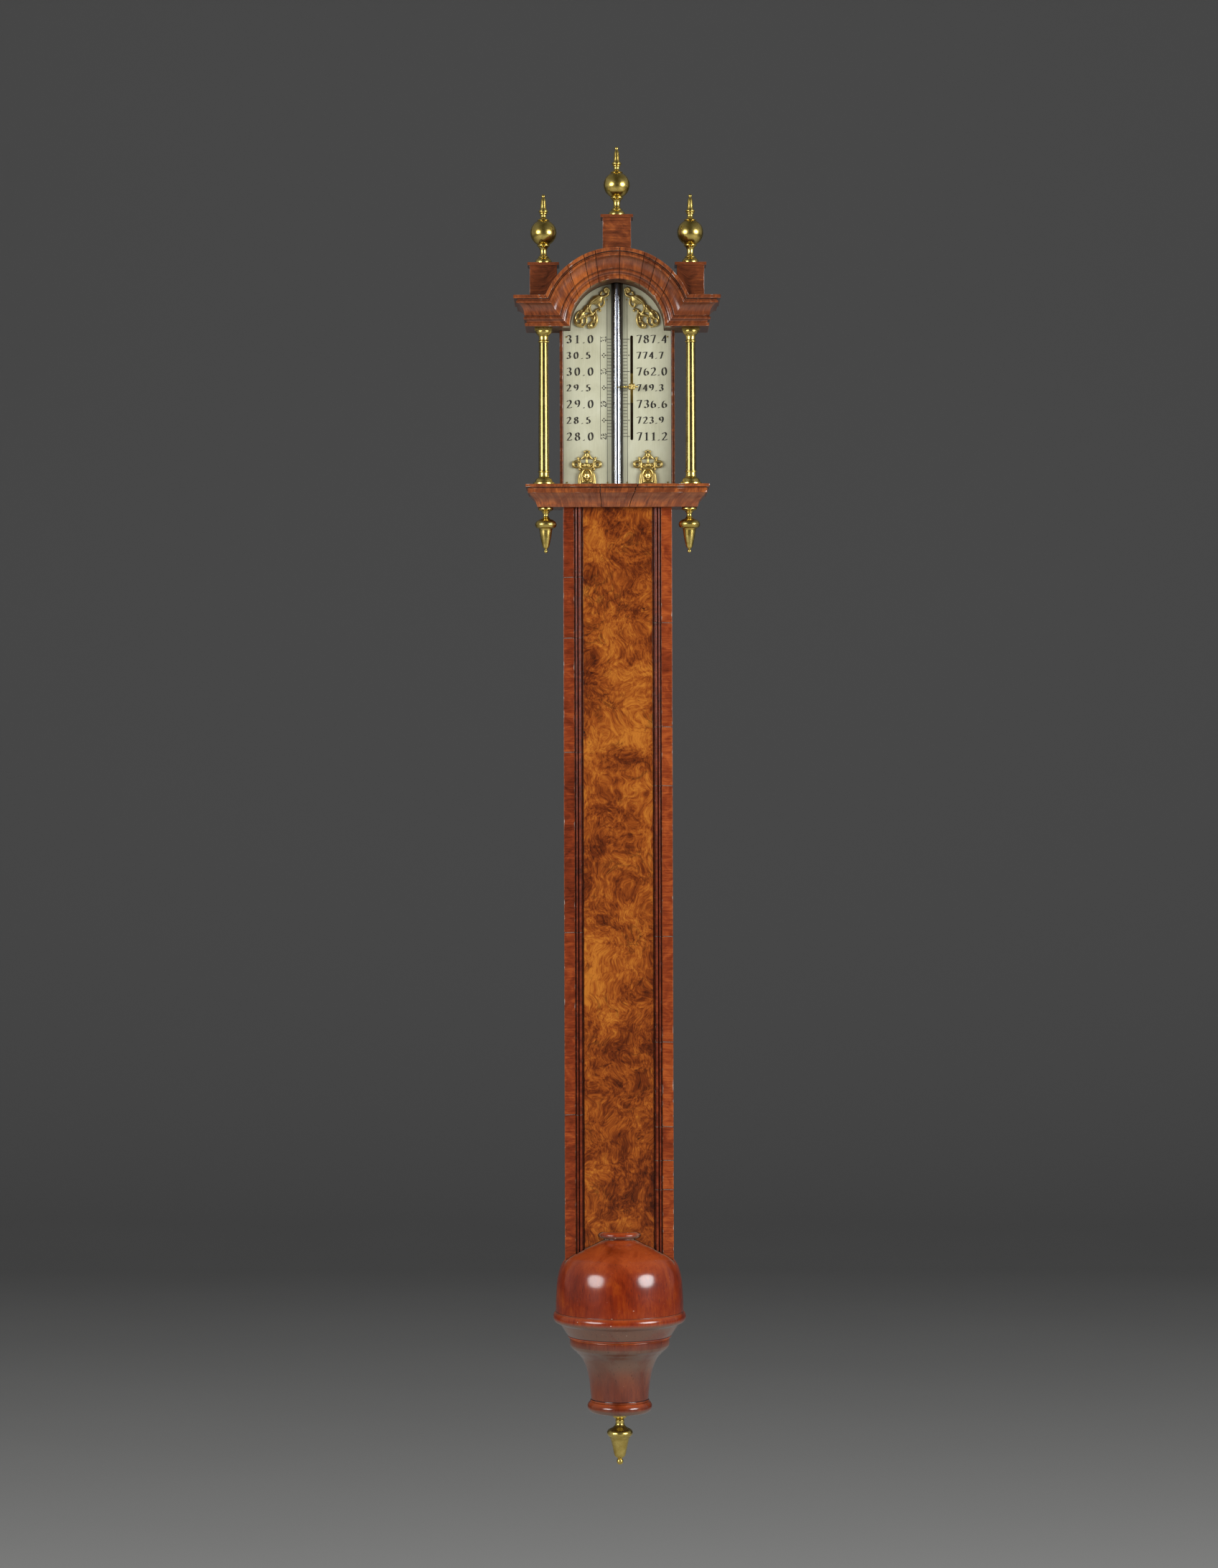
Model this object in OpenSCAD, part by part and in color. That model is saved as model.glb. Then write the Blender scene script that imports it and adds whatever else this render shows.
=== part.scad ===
// Stick barometer in a walnut case, hung on a wall by the plate behind its hood.
// Millimetres. The wall is the plane y = 0, the front faces -Y, up is +Z.
// The origin is the middle of the hanging hole. "Out" means distance from the wall.

/* [Case] */
// Width of the trunk and of the backboard
trunk_w = 85; // [82:0.5:90]
// Length of the trunk that shows between the hood and the cistern cover
trunk_l = 565; // [450:5:650]
// Thickness of the backboard
board_t = 14; // [13:0.5:16]
// Thickness of the burr panel on the trunk's front
panel_t = 4; // [3:0.5:6]
// Width of the crossgrain stile beside the beads
stile_w = 8.6; // [7:0.2:11]
// Width of the double bead between stile and panel
bead_w = 6.6; // [6:0.2:8]
// How far the double bead stands proud of the panel
bead_rise = 2; // [1.2:0.2:2.6]
// Width of the ledge of the stile that carries the panel
ledge_w = 9; // [8.2:0.2:11]
// Length of trunk that goes down inside the cistern cover
trunk_tail = 62; // [58:0.5:63]

/* [Hood] */
// Height of the hanging hole above the centre of the arch
hang_above_arch = 40; // [30:1:44]
// Inner radius of the arch
arch_r = 36.8; // [34:0.2:39]
// Width of the hood over the lowest band of the cornice
hood_w = 142.8; // [136:0.5:150]
// Depth of the hood from the wall to the lowest band of the cornice
hood_d = 44; // [42:0.5:50]
// Thickness of the cornice moulding behind its lowest band
moulding_t = 10; // [8:0.5:12]
// Height of the columns between hood base and cornice
column_h = 122.1; // [110:0.5:140]
// How far the column axes stand in from the cornice's lowest band
column_inset = 14.1; // [12:0.1:16]
// Distance of the column axes from the wall
column_out = 30; // [28:0.5:33]
// How far the hood base's lower edge stands in from the cornice's lowest band
base_inset = 9.2; // [7:0.1:11]
// Depth of the hood base from the wall to its lower edge
base_d = 35; // [33:0.5:40]
// How far the pendant axes stand in from the hood base's lower edge
pendant_inset = 6.2; // [6:0.1:8]
// Distance of the pendant axes from the wall
pendant_out = 26; // [20:0.5:28]
// Thickness of the walnut slips beside the register
slip_t = 2.6; // [2:0.1:3]
// How far the slips stand proud of the register plates
slip_rise = 1.5; // [0.5:0.5:3]

/* [Plinths] */
// Width of the side plinths
plinth_w = 21.3; // [18:0.1:22]
// Depth of the plinths
plinth_d = 19; // [16:0.5:19]
// Height of the side plinths without their caps
plinth_h = 25.2; // [22:0.2:30]
// Width of the centre plinth
crown_w = 22.1; // [18:0.1:26]
// Height of the centre plinth above the arch, without its cap
crown_h = 25.6; // [22:0.2:30]
// Overhang of a plinth's cap
cap_over = 1.6; // [1:0.1:2.4]
// Thickness of a plinth's cap
cap_t = 2.3; // [1.5:0.1:3]

/* [Register] */
// Thickness of the silvered plates
plate_t = 2; // [1:0.1:2.5]
// Gap between the two plates, where the tube lies
plate_gap = 9.4; // [9.2:0.1:11]
// Distance of the scale's middle below the centre of the arch
scale_below_arch = 44.9; // [42:0.1:60]
// Length of the scale, three inches
scale_l = 76.2; // [60:0.1:90]
// Distance of the index slot from the tube's axis
slot_x = 11.4; // [10.6:0.1:13]
// Width of the index slot
slot_w = 2.2; // [1.6:0.1:2.6]
// Length of the slider behind the slot
slider_l = 23; // [14:0.5:26]
// Width of the slider behind the slot
slider_w = 7; // [5:0.1:8]
// Thickness of the slider
slider_t = 1.2; // [0.8:0.1:1.4]
// Thickness of the pierced brass mounts
mount_t = 2; // [1.2:0.1:2.4]

/* [Tube] */
// Outer diameter of the glass tube
tube_d = 9; // [8:0.1:9.2]
// Bore of the glass tube
tube_bore = 4; // [3:0.1:5]
// Distance of the tube's axis from the wall
tube_out = 17; // [16.8:0.1:18]
// Length of tube above the centre of the arch
tube_above_arch = 52.5; // [46:0.5:53]
// Length of the top of the mercury that moves with the level
meniscus_l = 6; // [4:0.5:10]

/* [Cistern] */
// Outer radius of the boxwood cistern
cistern_r = 14; // [12.5:0.1:14.2]
// Wall of the boxwood cistern
cistern_wall = 3.6; // [3:0.1:4.5]
// Height of the boxwood cistern without its lid
cistern_h = 44; // [40:0.5:46]
// Thickness of the cistern's lid
lid_t = 4; // [3:0.5:5]
// Thickness of the leather base
leather_t = 1; // [0.8:0.1:1.3]
// Height of mercury in the cistern above its rim
pool_depth = 21.3; // [16:0.1:30]
// Radius of the pad that presses the leather
pad_r = 8.5; // [7:0.1:10]
// Thickness of the pad
pad_t = 4.5; // [4:0.1:6]
// Travel of the pad
pad_travel = 7.5; // [6:0.1:8]
// Radius of the portable screw
screw_r = 3; // [2.5:0.1:3.4]

/* [Cistern cover] */
// Radius of the collar at the top of the cover
collar_r = 18.8; // [17:0.1:21]
// Height of the collar
collar_h = 4.6; // [3.5:0.1:5.5]
// Radius of the flange, the widest place of the cover
flange_r = 51.9; // [50:0.1:56]
// Radius of the band under the flange
band_r = 39.1; // [37:0.1:41]
// Radius of the foot ring
foot_r = 25.3; // [24:0.1:27]
// Radius of the hollow for the cistern
hollow_r = 15.8; // [15.7:0.1:16]

/* [Fits] */
// Radial clearance of a running shaft
running = 0.05; // [0.02:0.01:0.1]
// Clearance of a loosely fitted piece
loose = 0.3; // [0.2:0.05:0.4]
// Radius of the hanging hole
hang_r = 4; // [3:0.1:5]
// Thickness of the hanging plate
hang_t = 2; // [1.5:0.1:3]

/* [Hidden] */
$fn = 48;

walnut = "#7a3b1c";
burr = "#a8672c";
turned_wood = "#5e2413";
brass = "#c9a23f";
silvered = "#cfcdb8";
oak = "#8a6a45";
boxwood = "#d8b878";
steel = "#8d9096";

// Members of the cornice moulding, from the bottom: height of each
band_h = 2.5;
cove_h = 2.2;
bead_d = 2.8;
quirk_h = 0.8;
cavetto_h = 8.9;
fillet_h = 1.7;
groove_h = 1.7;
crown_fillet_h = 2.8;
moulding_h = band_h + cove_h + bead_d + quirk_h + cavetto_h + fillet_h + groove_h + crown_fillet_h;

// Members of the hood base, from the bottom
base_cavetto_h = 10.4;
base_band_h = 3.6;
base_groove_h = 1;
base_fillet_h = 2.4;
base_h = base_cavetto_h + base_band_h + base_groove_h + base_fillet_h;

// Heights
arch_z = -hang_above_arch;
arch_out_r = arch_r + moulding_h;
cornice_top = arch_z + moulding_h;
base_top = arch_z - column_h;
base_bottom = base_top - base_h;
collar_top = base_bottom - trunk_l;
trunk_end = collar_top - trunk_tail;
scale_z = arch_z - scale_below_arch;
side_cap_z = cornice_top + plinth_h;
crown_cap_z = arch_z + arch_out_r + crown_h;
tube_top = arch_z + tube_above_arch;

// Places out from the wall
panel_back = tube_out + tube_d / 2 + 0.5;
panel_front = panel_back + panel_t;
plate_front = board_t + plate_t;
carcass_front = hood_d - moulding_t;
plinth_out = carcass_front - plinth_d / 2;
finger_out = tube_out + tube_d / 2 + loose;

// Places across
half = trunk_w / 2;
panel_half = half - stile_w - bead_w;
carcass_half = hood_w / 2 - moulding_t;
column_x = hood_w / 2 - column_inset;
base_w = hood_w - 2 * base_inset;
pendant_x = base_w / 2 - pendant_inset;
groove_r = tube_d / 2 + loose;
pin_r = 1.6;
pin_l = 8;

// Heights of the cistern cover's members below its collar
dome_l = 82.9;
band_l = 7.3;
cup_l = 42.4;
foot_l = 9.3;
cover_l = dome_l + band_l + cup_l + foot_l;
cover_joint_z = collar_top - dome_l;
cover_bottom = collar_top - cover_l;
tenon_l = 6;
tenon_r = 26;
bush_flange_t = 2;

// Cistern heights: the cup is hollowed as deep as the cistern under the trunk's end needs,
// and the leather base lies on the pad when the screw is home
lid_room = 1;
cup_floor = trunk_end - lid_room - lid_t - cistern_h - leather_t - pad_t - pad_travel - 2 * loose - bush_flange_t;
pad_top = cup_floor + bush_flange_t + loose + pad_travel + pad_t;
rim_z = pad_top + loose + leather_t;
lid_z = rim_z + cistern_h;
tube_bottom = rim_z + 6;
column_bottom = tube_bottom;
mercury_r = tube_bore / 2 - running;
bore_top = tube_top - 3;

// Smooth curve through points, with n steps from each point to the next
function bend(a, b, c, d, t) =
    0.5 * (2 * b + (c - a) * t + (2 * a - 5 * b + 4 * c - d) * t * t + (3 * b - a - 3 * c + d) * t * t * t);
function smooth(p, n = 3) = [
    for (i = [0 : len(p) - 2], j = [0 : n - 1])
        bend(p[max(i - 1, 0)], p[i], p[i + 1], p[min(i + 2, len(p) - 1)], j / n),
    p[len(p) - 1]];
function arc(c, r, from, to, n = 8) = [
    for (i = [0 : n])
        let (a = from + (to - from) * i / n)
        [c[0] + r * cos(a), c[1] + r * sin(a)]];

// A solid of revolution about Z from an outline of [radius, height] points
module turned(outline) { rotate_extrude() polygon(outline); }

// A flat outline of [x, z] points that reaches from one distance out to another
module standing(from, to) { translate([0, -from, 0]) rotate([90, 0, 0]) linear_extrude(to - from) children(); }

// A flat outline of [out, z] points that reaches across the width w
module across(w) { translate([-w / 2, 0, 0]) rotate([90, 0, -90]) mirror([0, 0, 1]) linear_extrude(w) children(); }

// A box between two distances across, out and up
module block(x, out, z) { translate([x[0], -out[1], z[0]]) cube([x[1] - x[0], out[1] - out[0], z[1] - z[0]]); }

module right_and_left(side) { if (side > 0) children(); else mirror([1, 0, 0]) children(); }

// Cornice profile: [height above its bottom, projection past its lowest band]
function cornice_profile() = let (
    bead_z = band_h + cove_h + bead_d / 2,
    cav_z = band_h + cove_h + bead_d + quirk_h,
    top_z = cav_z + cavetto_h + fillet_h + groove_h,
    cav_in = 0.4,
    cav_run = 6.4,
    recess = 0.8,
    crown_run = 8.8) concat(
    [[0, 0], [band_h, 0]],
    smooth([[band_h, -recess], [band_h + cove_h / 2, -recess - 0.5], [band_h + cove_h, -recess]], 2),
    [for (p = arc([-0.2, bead_z], bead_d / 2, -90, 90)) [p[1], p[0]]],
    [[cav_z, -0.2], [cav_z, cav_in]],
    [for (i = [1 : 6]) [cav_z + cavetto_h * sin(15 * i), cav_in + cav_run * (1 - cos(15 * i))]],
    [[cav_z + cavetto_h + fillet_h, cav_in + cav_run], [cav_z + cavetto_h + fillet_h, cav_in + cav_run - 0.8],
     [top_z, cav_in + cav_run - 0.8], [top_z, crown_run - 0.4], [top_z + 0.4, crown_run],
     [moulding_h - 0.4, crown_run], [moulding_h, crown_run - 0.4]]);

// Hood base profile: [height above its bottom, projection past its lower edge]
function base_profile() = let (
    band_run = 7.5,
    groove_run = 6.8,
    fillet_run = 9.3,
    band_top = base_cavetto_h + base_band_h) concat(
    smooth([[0, 0], [1.3, 0.5], [4.1, 1.4], [6.3, 2.8], [8.2, 4.7], [base_cavetto_h, 6.6]], 2),
    [[base_cavetto_h, band_run], [band_top, band_run], [band_top, groove_run],
     [band_top + base_groove_h, groove_run], [band_top + base_groove_h, fillet_run - 0.4],
     [band_top + base_groove_h + 0.4, fillet_run], [base_h - 0.4, fillet_run], [base_h, fillet_run - 0.4]]);

// A moulded block against the wall: its front and its two ends carry one profile
module moulded_block(profile, w, d, z, h) {
    front = [for (p = profile) [d + p[1], z + p[0]]];
    end = [for (p = profile) [w / 2 + p[1], z + p[0]]];
    span = 2 * w;
    intersection() {
        across(span) polygon(concat([[0, z]], front, [[0, z + h]]));
        standing(0, 2 * d) polygon(concat(end, [for (i = [len(end) - 1 : -1 : 0]) [-end[i][0], end[i][1]]]));
    }
}

// Where the arch meets the level cornice, both stand equally high in the profile: a parabola
module above_mitre() {
    mitre_x = sqrt(arch_r * arch_r + 2 * arch_r * moulding_h);
    steps = 8;
    curve = [for (i = [0 : steps])
        let (x = arch_r + (mitre_x - arch_r) * i / steps)
        [x, arch_z + (x * x - arch_r * arch_r) / (2 * arch_r)]];
    polygon(concat([[-arch_r, arch_z], [arch_r, arch_z]], curve,
        [[mitre_x + 20, cornice_top + 0.001], [mitre_x + 20, arch_z + 2 * arch_out_r],
         [-mitre_x - 20, arch_z + 2 * arch_out_r], [-mitre_x - 20, cornice_top + 0.001]],
        [for (i = [steps : -1 : 0]) [-curve[i][0], curve[i][1]]]));
}

module arch_sweep() {
    translate([0, 0, arch_z]) rotate([90, 0, 0]) rotate_extrude()
        polygon(concat([[arch_r, carcass_front]],
            [for (p = cornice_profile()) [arch_r + p[0], hood_d + p[1]]],
            [[arch_out_r, carcass_front]]));
}

module arch_moulding() {
    color(walnut) intersection() {
        arch_sweep();
        standing(0, 2 * hood_d) above_mitre();
    }
}

module cornice(side) {
    color(walnut) difference() {
        moulded_block(cornice_profile(), hood_w, hood_d, arch_z, moulding_h);
        block([-carcass_half, carcass_half], [-1, carcass_front], [arch_z - 1, cornice_top + 1]);
        standing(-1, 2 * hood_d) above_mitre();
        standing(-1, 2 * hood_d) translate([0, arch_z]) circle(arch_r);
        block([-side * hood_w - hood_w, -side * hood_w + hood_w], [-1, 2 * hood_d], [arch_z - 1, cornice_top + 1]);
    }
}

module tube_space(top) {
    translate([0, -tube_out, trunk_end - 1]) cylinder(r = groove_r, h = top - trunk_end + 1);
}

module hood_carcass() {
    color(oak) difference() {
        standing(0, carcass_front) difference() {
            union() {
                translate([-carcass_half, arch_z]) square([2 * carcass_half, moulding_h]);
                intersection() {
                    translate([0, arch_z]) circle(arch_out_r);
                    union() {
                        translate([-carcass_half, arch_z]) square([2 * carcass_half, arch_out_r]);
                        translate([-arch_out_r, cornice_top]) square([2 * arch_out_r, arch_out_r]);
                    }
                }
            }
            translate([0, arch_z]) circle(arch_r);
        }
        block([-half, half], [-1, board_t], [arch_z - 1, arch_z + arch_out_r + 1]);
        tube_space(tube_top + loose);
        for (side = [-1, 1])
            translate([side * column_x, -column_out, arch_z - 1]) cylinder(r = pin_r + running, h = pin_l + 1.5);
    }
}

module board_outline() {
    translate([-half, trunk_end]) square([trunk_w, arch_z - trunk_end]);
    intersection() {
        translate([0, arch_z]) circle(arch_out_r - 1);
        translate([-half, arch_z - 1]) square([trunk_w, arch_out_r + 1]);
    }
}

hang_plate_w = 22;
hang_plate_up = 13;
hang_plate_down = 22;
hang_screw_z = [-16, 9];
hang_pocket = 8;
hang_screw_l = 8;
screw_head_r = 3;

module hanging_screw() {
    turned([[0, 0], [screw_head_r, 0], [1.5, 1.5], [1.5, hang_screw_l - 2], [0, hang_screw_l]]);
}

module at_hanging_screws() {
    for (z = hang_screw_z) translate([0, 0, z]) rotate([90, 0, 0]) children();
}

channel_w = slider_w + 2 * loose;
channel_l = scale_l + slider_l + 2 * loose;
channel_d = 2.6;
cover_screw_x = panel_half - 7.3;
cover_screw_z = trunk_end + 14;
cover_screw_r = 2;

module backboard() {
    color(oak) difference() {
        standing(0, board_t) board_outline();
        tube_space(tube_top + loose);
        block([-hang_plate_w / 2, hang_plate_w / 2], [-1, hang_t], [-hang_plate_down, hang_plate_up]);
        rotate([90, 0, 0]) cylinder(r = hang_r + 2.5, h = hang_pocket);
        at_hanging_screws() cylinder(r = 1.5 + running, h = hang_screw_l + 1);
        block([slot_x - channel_w / 2, slot_x + channel_w / 2], [board_t - channel_d, board_t + 1],
            [scale_z - channel_l / 2, scale_z + channel_l / 2]);
        at_cover_screws() cylinder(r = cover_screw_r + running, h = board_t + 2);
        at_cover_screws() cylinder(r = screw_head_r + 1 + loose, h = cover_screw_sink + 1);
    }
}

module hanging_plate() {
    color(brass) difference() {
        block([-hang_plate_w / 2, hang_plate_w / 2], [0, hang_t], [-hang_plate_down, hang_plate_up]);
        rotate([90, 0, 0]) translate([0, 0, -1]) cylinder(r = hang_r, h = hang_t + 2);
        at_hanging_screws() translate([0, 0, -1]) cylinder(r = 1.5 + running, h = hang_t + 2);
        at_hanging_screws() translate([0, 0, -0.1])
            cylinder(r1 = screw_head_r + 0.1 + running, r2 = 1.5 + running, h = 1.6);
    }
}

module hanging_screws() {
    color(brass) at_hanging_screws() hanging_screw();
}

module trunk_stile(side) {
    color(walnut) right_and_left(side) translate([0, 0, trunk_end]) linear_extrude(base_bottom - trunk_end)
        polygon([[half, -board_t], [half, -panel_front + 0.6], [half - 0.6, -panel_front],
            [half - stile_w, -panel_front], [half - stile_w, -panel_back],
            [panel_half - ledge_w + bead_w, -panel_back], [panel_half - ledge_w + bead_w, -board_t]]);
}

// Two beads side by side with a quirk beside each
module trunk_bead(side) {
    small = 0.17 * bead_w;
    large = 0.24 * bead_w;
    color(walnut) right_and_left(side) translate([panel_half, 0, trunk_end])
        linear_extrude(base_bottom - trunk_end) {
            translate([0, -panel_front + 0.5]) square([bead_w, panel_t - 0.5]);
            translate([0.28 * bead_w, -panel_front - bead_rise * 0.65 + small]) circle(small);
            translate([0.28 * bead_w - small, -panel_front - bead_rise * 0.65 + small])
                square([2 * small, panel_t + bead_rise * 0.65 - small]);
            translate([0.66 * bead_w, -panel_front - bead_rise + large]) circle(large);
            translate([0.66 * bead_w - large, -panel_front - bead_rise + large])
                square([2 * large, panel_t + bead_rise - large]);
        }
}

module trunk_panel() {
    color(burr) difference() {
        block([-panel_half, panel_half], [panel_back, panel_front], [trunk_end, base_bottom]);
        at_cover_screws() cylinder(r = cover_screw_r + running, h = panel_front + 1);
    }
}

module hood_base() {
    color(walnut) difference() {
        moulded_block(base_profile(), base_w, base_d, base_bottom, base_h);
        block([-half, half], [-1, board_t], [base_bottom - 1, base_top + 1]);
        tube_space(base_top + 1);
        for (side = [-1, 1]) {
            translate([side * column_x, -column_out, base_top - pin_l - 0.5])
                cylinder(r = pin_r + running, h = pin_l + 1);
            translate([side * pendant_x, -pendant_out, base_bottom - 1])
                cylinder(r = pin_r + running, h = pin_l - 0.5);
        }
    }
}

// Plinths are scribed to the back of the arch
module plinth(x, w, bottom, top) {
    color(walnut) difference() {
        block([x - w / 2, x + w / 2], [carcass_front - plinth_d, carcass_front], [bottom, top]);
        standing(0, hood_d) translate([0, arch_z]) circle(arch_out_r);
        translate([x, -plinth_out, top - finial_pin_l]) cylinder(r = pin_r + running, h = finial_pin_l + 1);
    }
}

module plinth_cap(x, w, z) {
    color(walnut) difference() {
        block([x - w / 2 - cap_over, x + w / 2 + cap_over],
            [carcass_front - plinth_d, carcass_front + cap_over], [z, z + cap_t]);
        translate([x, -plinth_out, z - 1]) cylinder(r = pin_r + running, h = cap_t + 2);
    }
}

// Brass finial standing on z = 0: foot, waist, ball and spire, with a pin below
finial_pin_l = 10;
finial_ball_r = 10.2;
finial_ball_z = 24.3;

module finial(x, z) {
    foot_r = 6.5;
    outline = concat(
        [[0, -finial_pin_l], [pin_r, -finial_pin_l], [pin_r, 0], [foot_r - 0.5, 0], [foot_r, 0.5], [foot_r, 1.5]],
        smooth([[foot_r - 0.6, 2.1], [4, 3.4], [2.4, 6], [2.2, 8], [2.9, 11], [4.5, 13.4]], 2),
        [[5, 13.8], [5, 14.5]],
        arc([0, finial_ball_z], finial_ball_r, -65, 65, 14),
        [[4.5, 33.9], [4.5, 34.5]],
        smooth([[3.6, 35.1], [2.1, 36.6], [2, 38], [2.5, 39.4]], 2),
        [[2.9, 39.8], [2.9, 40.8], [2.3, 41.4], [3.6, 42.2], [3.6, 43.2], [2.7, 44.2]],
        smooth([[2.6, 44.6], [1.9, 48.6], [1.2, 52.4]], 2),
        [[1.7, 52.9], [1.7, 53.9], [0.9, 54.4], [0, 54.4]]);
    color(brass) translate([x, -plinth_out, z]) turned(outline);
}

// Turned brass columns: the shaft has a spigot at each end
column_base_h = 10.6;
column_capital_h = 11.2;
spigot_r = 2;
spigot_l = 6;

module column_at(side, z) { translate([side * column_x, -column_out, z]) children(); }

module column_base(side) {
    outline = concat(
        [[0, -pin_l], [pin_r, -pin_l], [pin_r, 0], [8, 0], [8.4, 0.5], [8.4, 1.7], [8, 2.1], [7, 2.3]],
        smooth([[6.9, 2.6], [6.3, 4.4], [4.8, 5.7]], 3),
        [[4.4, 5.9]],
        smooth([[4.2, 6.3], [4, 8.4], [4.1, column_base_h - 0.8]], 2),
        [[4.8, column_base_h - 0.5], [4.8, column_base_h], [0, column_base_h]]);
    color(brass) column_at(side, base_top) difference() {
        turned(outline);
        translate([0, 0, column_base_h - spigot_l - 0.5]) cylinder(r = spigot_r + running, h = spigot_l + 1);
    }
}

module column_shaft(side) {
    length = column_h - column_base_h - column_capital_h;
    color(brass) column_at(side, base_top + column_base_h)
        turned(concat([[0, -spigot_l], [spigot_r, -spigot_l], [spigot_r, 0], [4.2, 0]],
            smooth([[4.1, 1], [4, length / 3], [3.6, length - 1]], 3),
            [[3.6, length], [spigot_r, length], [spigot_r, length + spigot_l], [0, length + spigot_l]]));
}

module column_capital(side) {
    abacus_w = 13.6;
    abacus_t = 2.2;
    outline = concat(
        [[0, 0], [4.1, 0], [4.3, 0.5], [4.3, 1], [3.8, 1.6]],
        smooth([[3.7, 2], [3.7, 4], [3.9, 5.2]], 2),
        [[4.5, 5.5], [4.6, 6]],
        smooth([[5, 6.3], [5.9, 7.4], [6.2, 8.6]], 2),
        [[6.2, column_capital_h - abacus_t], [0, column_capital_h - abacus_t]]);
    color(brass) column_at(side, arch_z - column_capital_h) difference() {
        union() {
            turned(outline);
            translate([-abacus_w / 2, -abacus_w / 2, column_capital_h - abacus_t])
                cube([abacus_w, abacus_w, abacus_t]);
            cylinder(r = pin_r, h = column_capital_h + pin_l);
        }
        translate([0, 0, -1]) cylinder(r = spigot_r + running, h = spigot_l + 1.5);
    }
}

// Pendant hanging below z = 0, as stout as the ledge beside the trunk allows
drawn_ledge = 19.7;

module pendant(side) {
    stout = (base_w / 2 - half) / drawn_ledge;
    outline = concat(
        [[0, 0], [5.5, 0], [5.9, -0.5], [5.9, -1.4], [5.3, -2]],
        smooth([[3.4, -2.8], [2.1, -5], [2.2, -7], [3.6, -8.8]], 2),
        smooth([[5.2, -9.3], [7.6, -11], [8.4, -13.4], [7.4, -15.6]], 2),
        [[5.4, -16.4], [5.2, -17]],
        smooth([[5, -17.4], [4.2, -23], [2.9, -29], [2, -31.4]], 2),
        [[1.1, -31.9]],
        arc([0, -33.9], 1.5, 50, -85, 4),
        [[0, -35.4]]);
    color(brass) translate([side * pendant_x, -pendant_out, base_bottom]) {
        turned([for (p = outline) [p[0] * stout, p[1]]]);
        cylinder(r = pin_r, h = pin_l - 2);
    }
}

// One silvered plate, rounded at the top to sit inside the arch
module register_outline(side) {
    edge = half - loose;
    difference() {
        union() {
            translate([-edge, base_top]) square([2 * edge, column_h - loose]);
            translate([0, arch_z]) circle(arch_r - loose);
        }
        translate([-half - side * half + side * plate_gap / 2, base_top - 1])
            square([trunk_w, column_h + 2 * arch_r]);
    }
}

module index_slot() {
    straight_l = scale_l + stem_l + 2 * loose;
    translate([slot_x - slot_w / 2, scale_z - straight_l / 2]) square([slot_w, straight_l]);
    for (end = [-1, 1]) translate([slot_x, scale_z + end * straight_l / 2]) circle(slot_w / 2);
}

register_pin_r = 0.6;
register_pin_in = 3;
register_pin_places = [[half - register_pin_in, base_top + register_pin_in],
    [half - register_pin_in, arch_z - 5],
    [plate_gap / 2 + register_pin_in, base_top + register_pin_in],
    [plate_gap / 2 + register_pin_in, arch_z + 24]];

module at_register_pins(side) {
    for (p = register_pin_places) translate([side * p[0], 0, p[1]]) rotate([90, 0, 0]) children();
}

module register_plate(side) {
    color(silvered) difference() {
        standing(board_t, plate_front) difference() {
            register_outline(side);
            if (side > 0) index_slot();
        }
        at_register_pins(side) cylinder(r = register_pin_r + running, h = plate_front + 1);
    }
}

module register_pins() {
    color(brass) for (side = [-1, 1]) at_register_pins(side)
        translate([0, 0, board_t]) cylinder(r = register_pin_r, h = plate_t + 0.4);
}

module register_slip(side) {
    color(walnut) right_and_left(side)
        block([half, half + slip_t], [0, plate_front + slip_rise], [base_top, arch_z]);
}

module ring(p, r, w) { translate(p) difference() { circle(r); circle(r - w); } }
module disc(p, r) { translate(p) circle(r); }
module bar(a, b, w) {
    d = b - a;
    translate(a) rotate(atan2(d[1], d[0])) translate([0, -w / 2]) square([norm(d), w]);
}

// Pierced scrolls between the arch and the tube, drawn for the right side from the arch's centre
module spandrel_outline() {
    intersection() {
        circle(arch_r - loose);
        union() {
            disc([9.1, 32.7], 3);
            disc([12, 31.2], 1.9);
            bar([10, 30.5], [17, 26.5], 6.5);
            disc([17.6, 26.2], 4.2);
            ring([12.9, 25], 4.4, 1.5);
            ring([18, 18.6], 6.2, 1.9);
            disc([14.4, 18], 1.6);
            disc([24.6, 20.6], 3.1);
            bar([21, 22.6], [27, 17.6], 3.2);
            ring([30.4, 11], 5.4, 1.7);
            disc([31.6, 8], 3.4);
            ring([26.4, 8.2], 4.1, 1.4);
            bar([19.3, 13.4], [17.2, 8.6], 3.6);
            ring([22.2, 8.8], 6, 1.7);
            ring([21.6, 4.8], 3.3, 2);
        }
    }
}

module spandrel(side) {
    color(brass) standing(plate_front, plate_front + mount_t) right_and_left(side)
        translate([0, arch_z]) spandrel_outline();
}

mask_x = 23.9;

// Crowned mask between two scrolls, standing on the hood base; the face is a plain rounded oval
module mask_mount(side) {
    color(brass) right_and_left(side) translate([mask_x, 0, base_top]) {
        standing(plate_front, plate_front + mount_t) {
            translate([-6.4, 0]) square([12.8, 10]);
            disc([0, 11], 5.4);
            polygon([[-3.8, 15], [3.8, 15], [5, 20], [1.8, 24], [1.9, 26.8], [-1.9, 26.8], [-1.8, 24], [-5, 20]]);
            for (s = [-1, 1]) {
                ring([s * 8, 16.2], 3.9, 1.9);
                disc([s * 10.2, 18.6], 1.6);
                bar([s * 4, 13], [s * 7.4, 21.6], 2.4);
            }
        }
        intersection() {
            translate([0, -plate_front + 1.6, 9.4]) sphere(r = 5.2);
            block([-6, 6], [plate_front + mount_t, plate_front + 8], [0, 20]);
        }
    }
}

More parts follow.
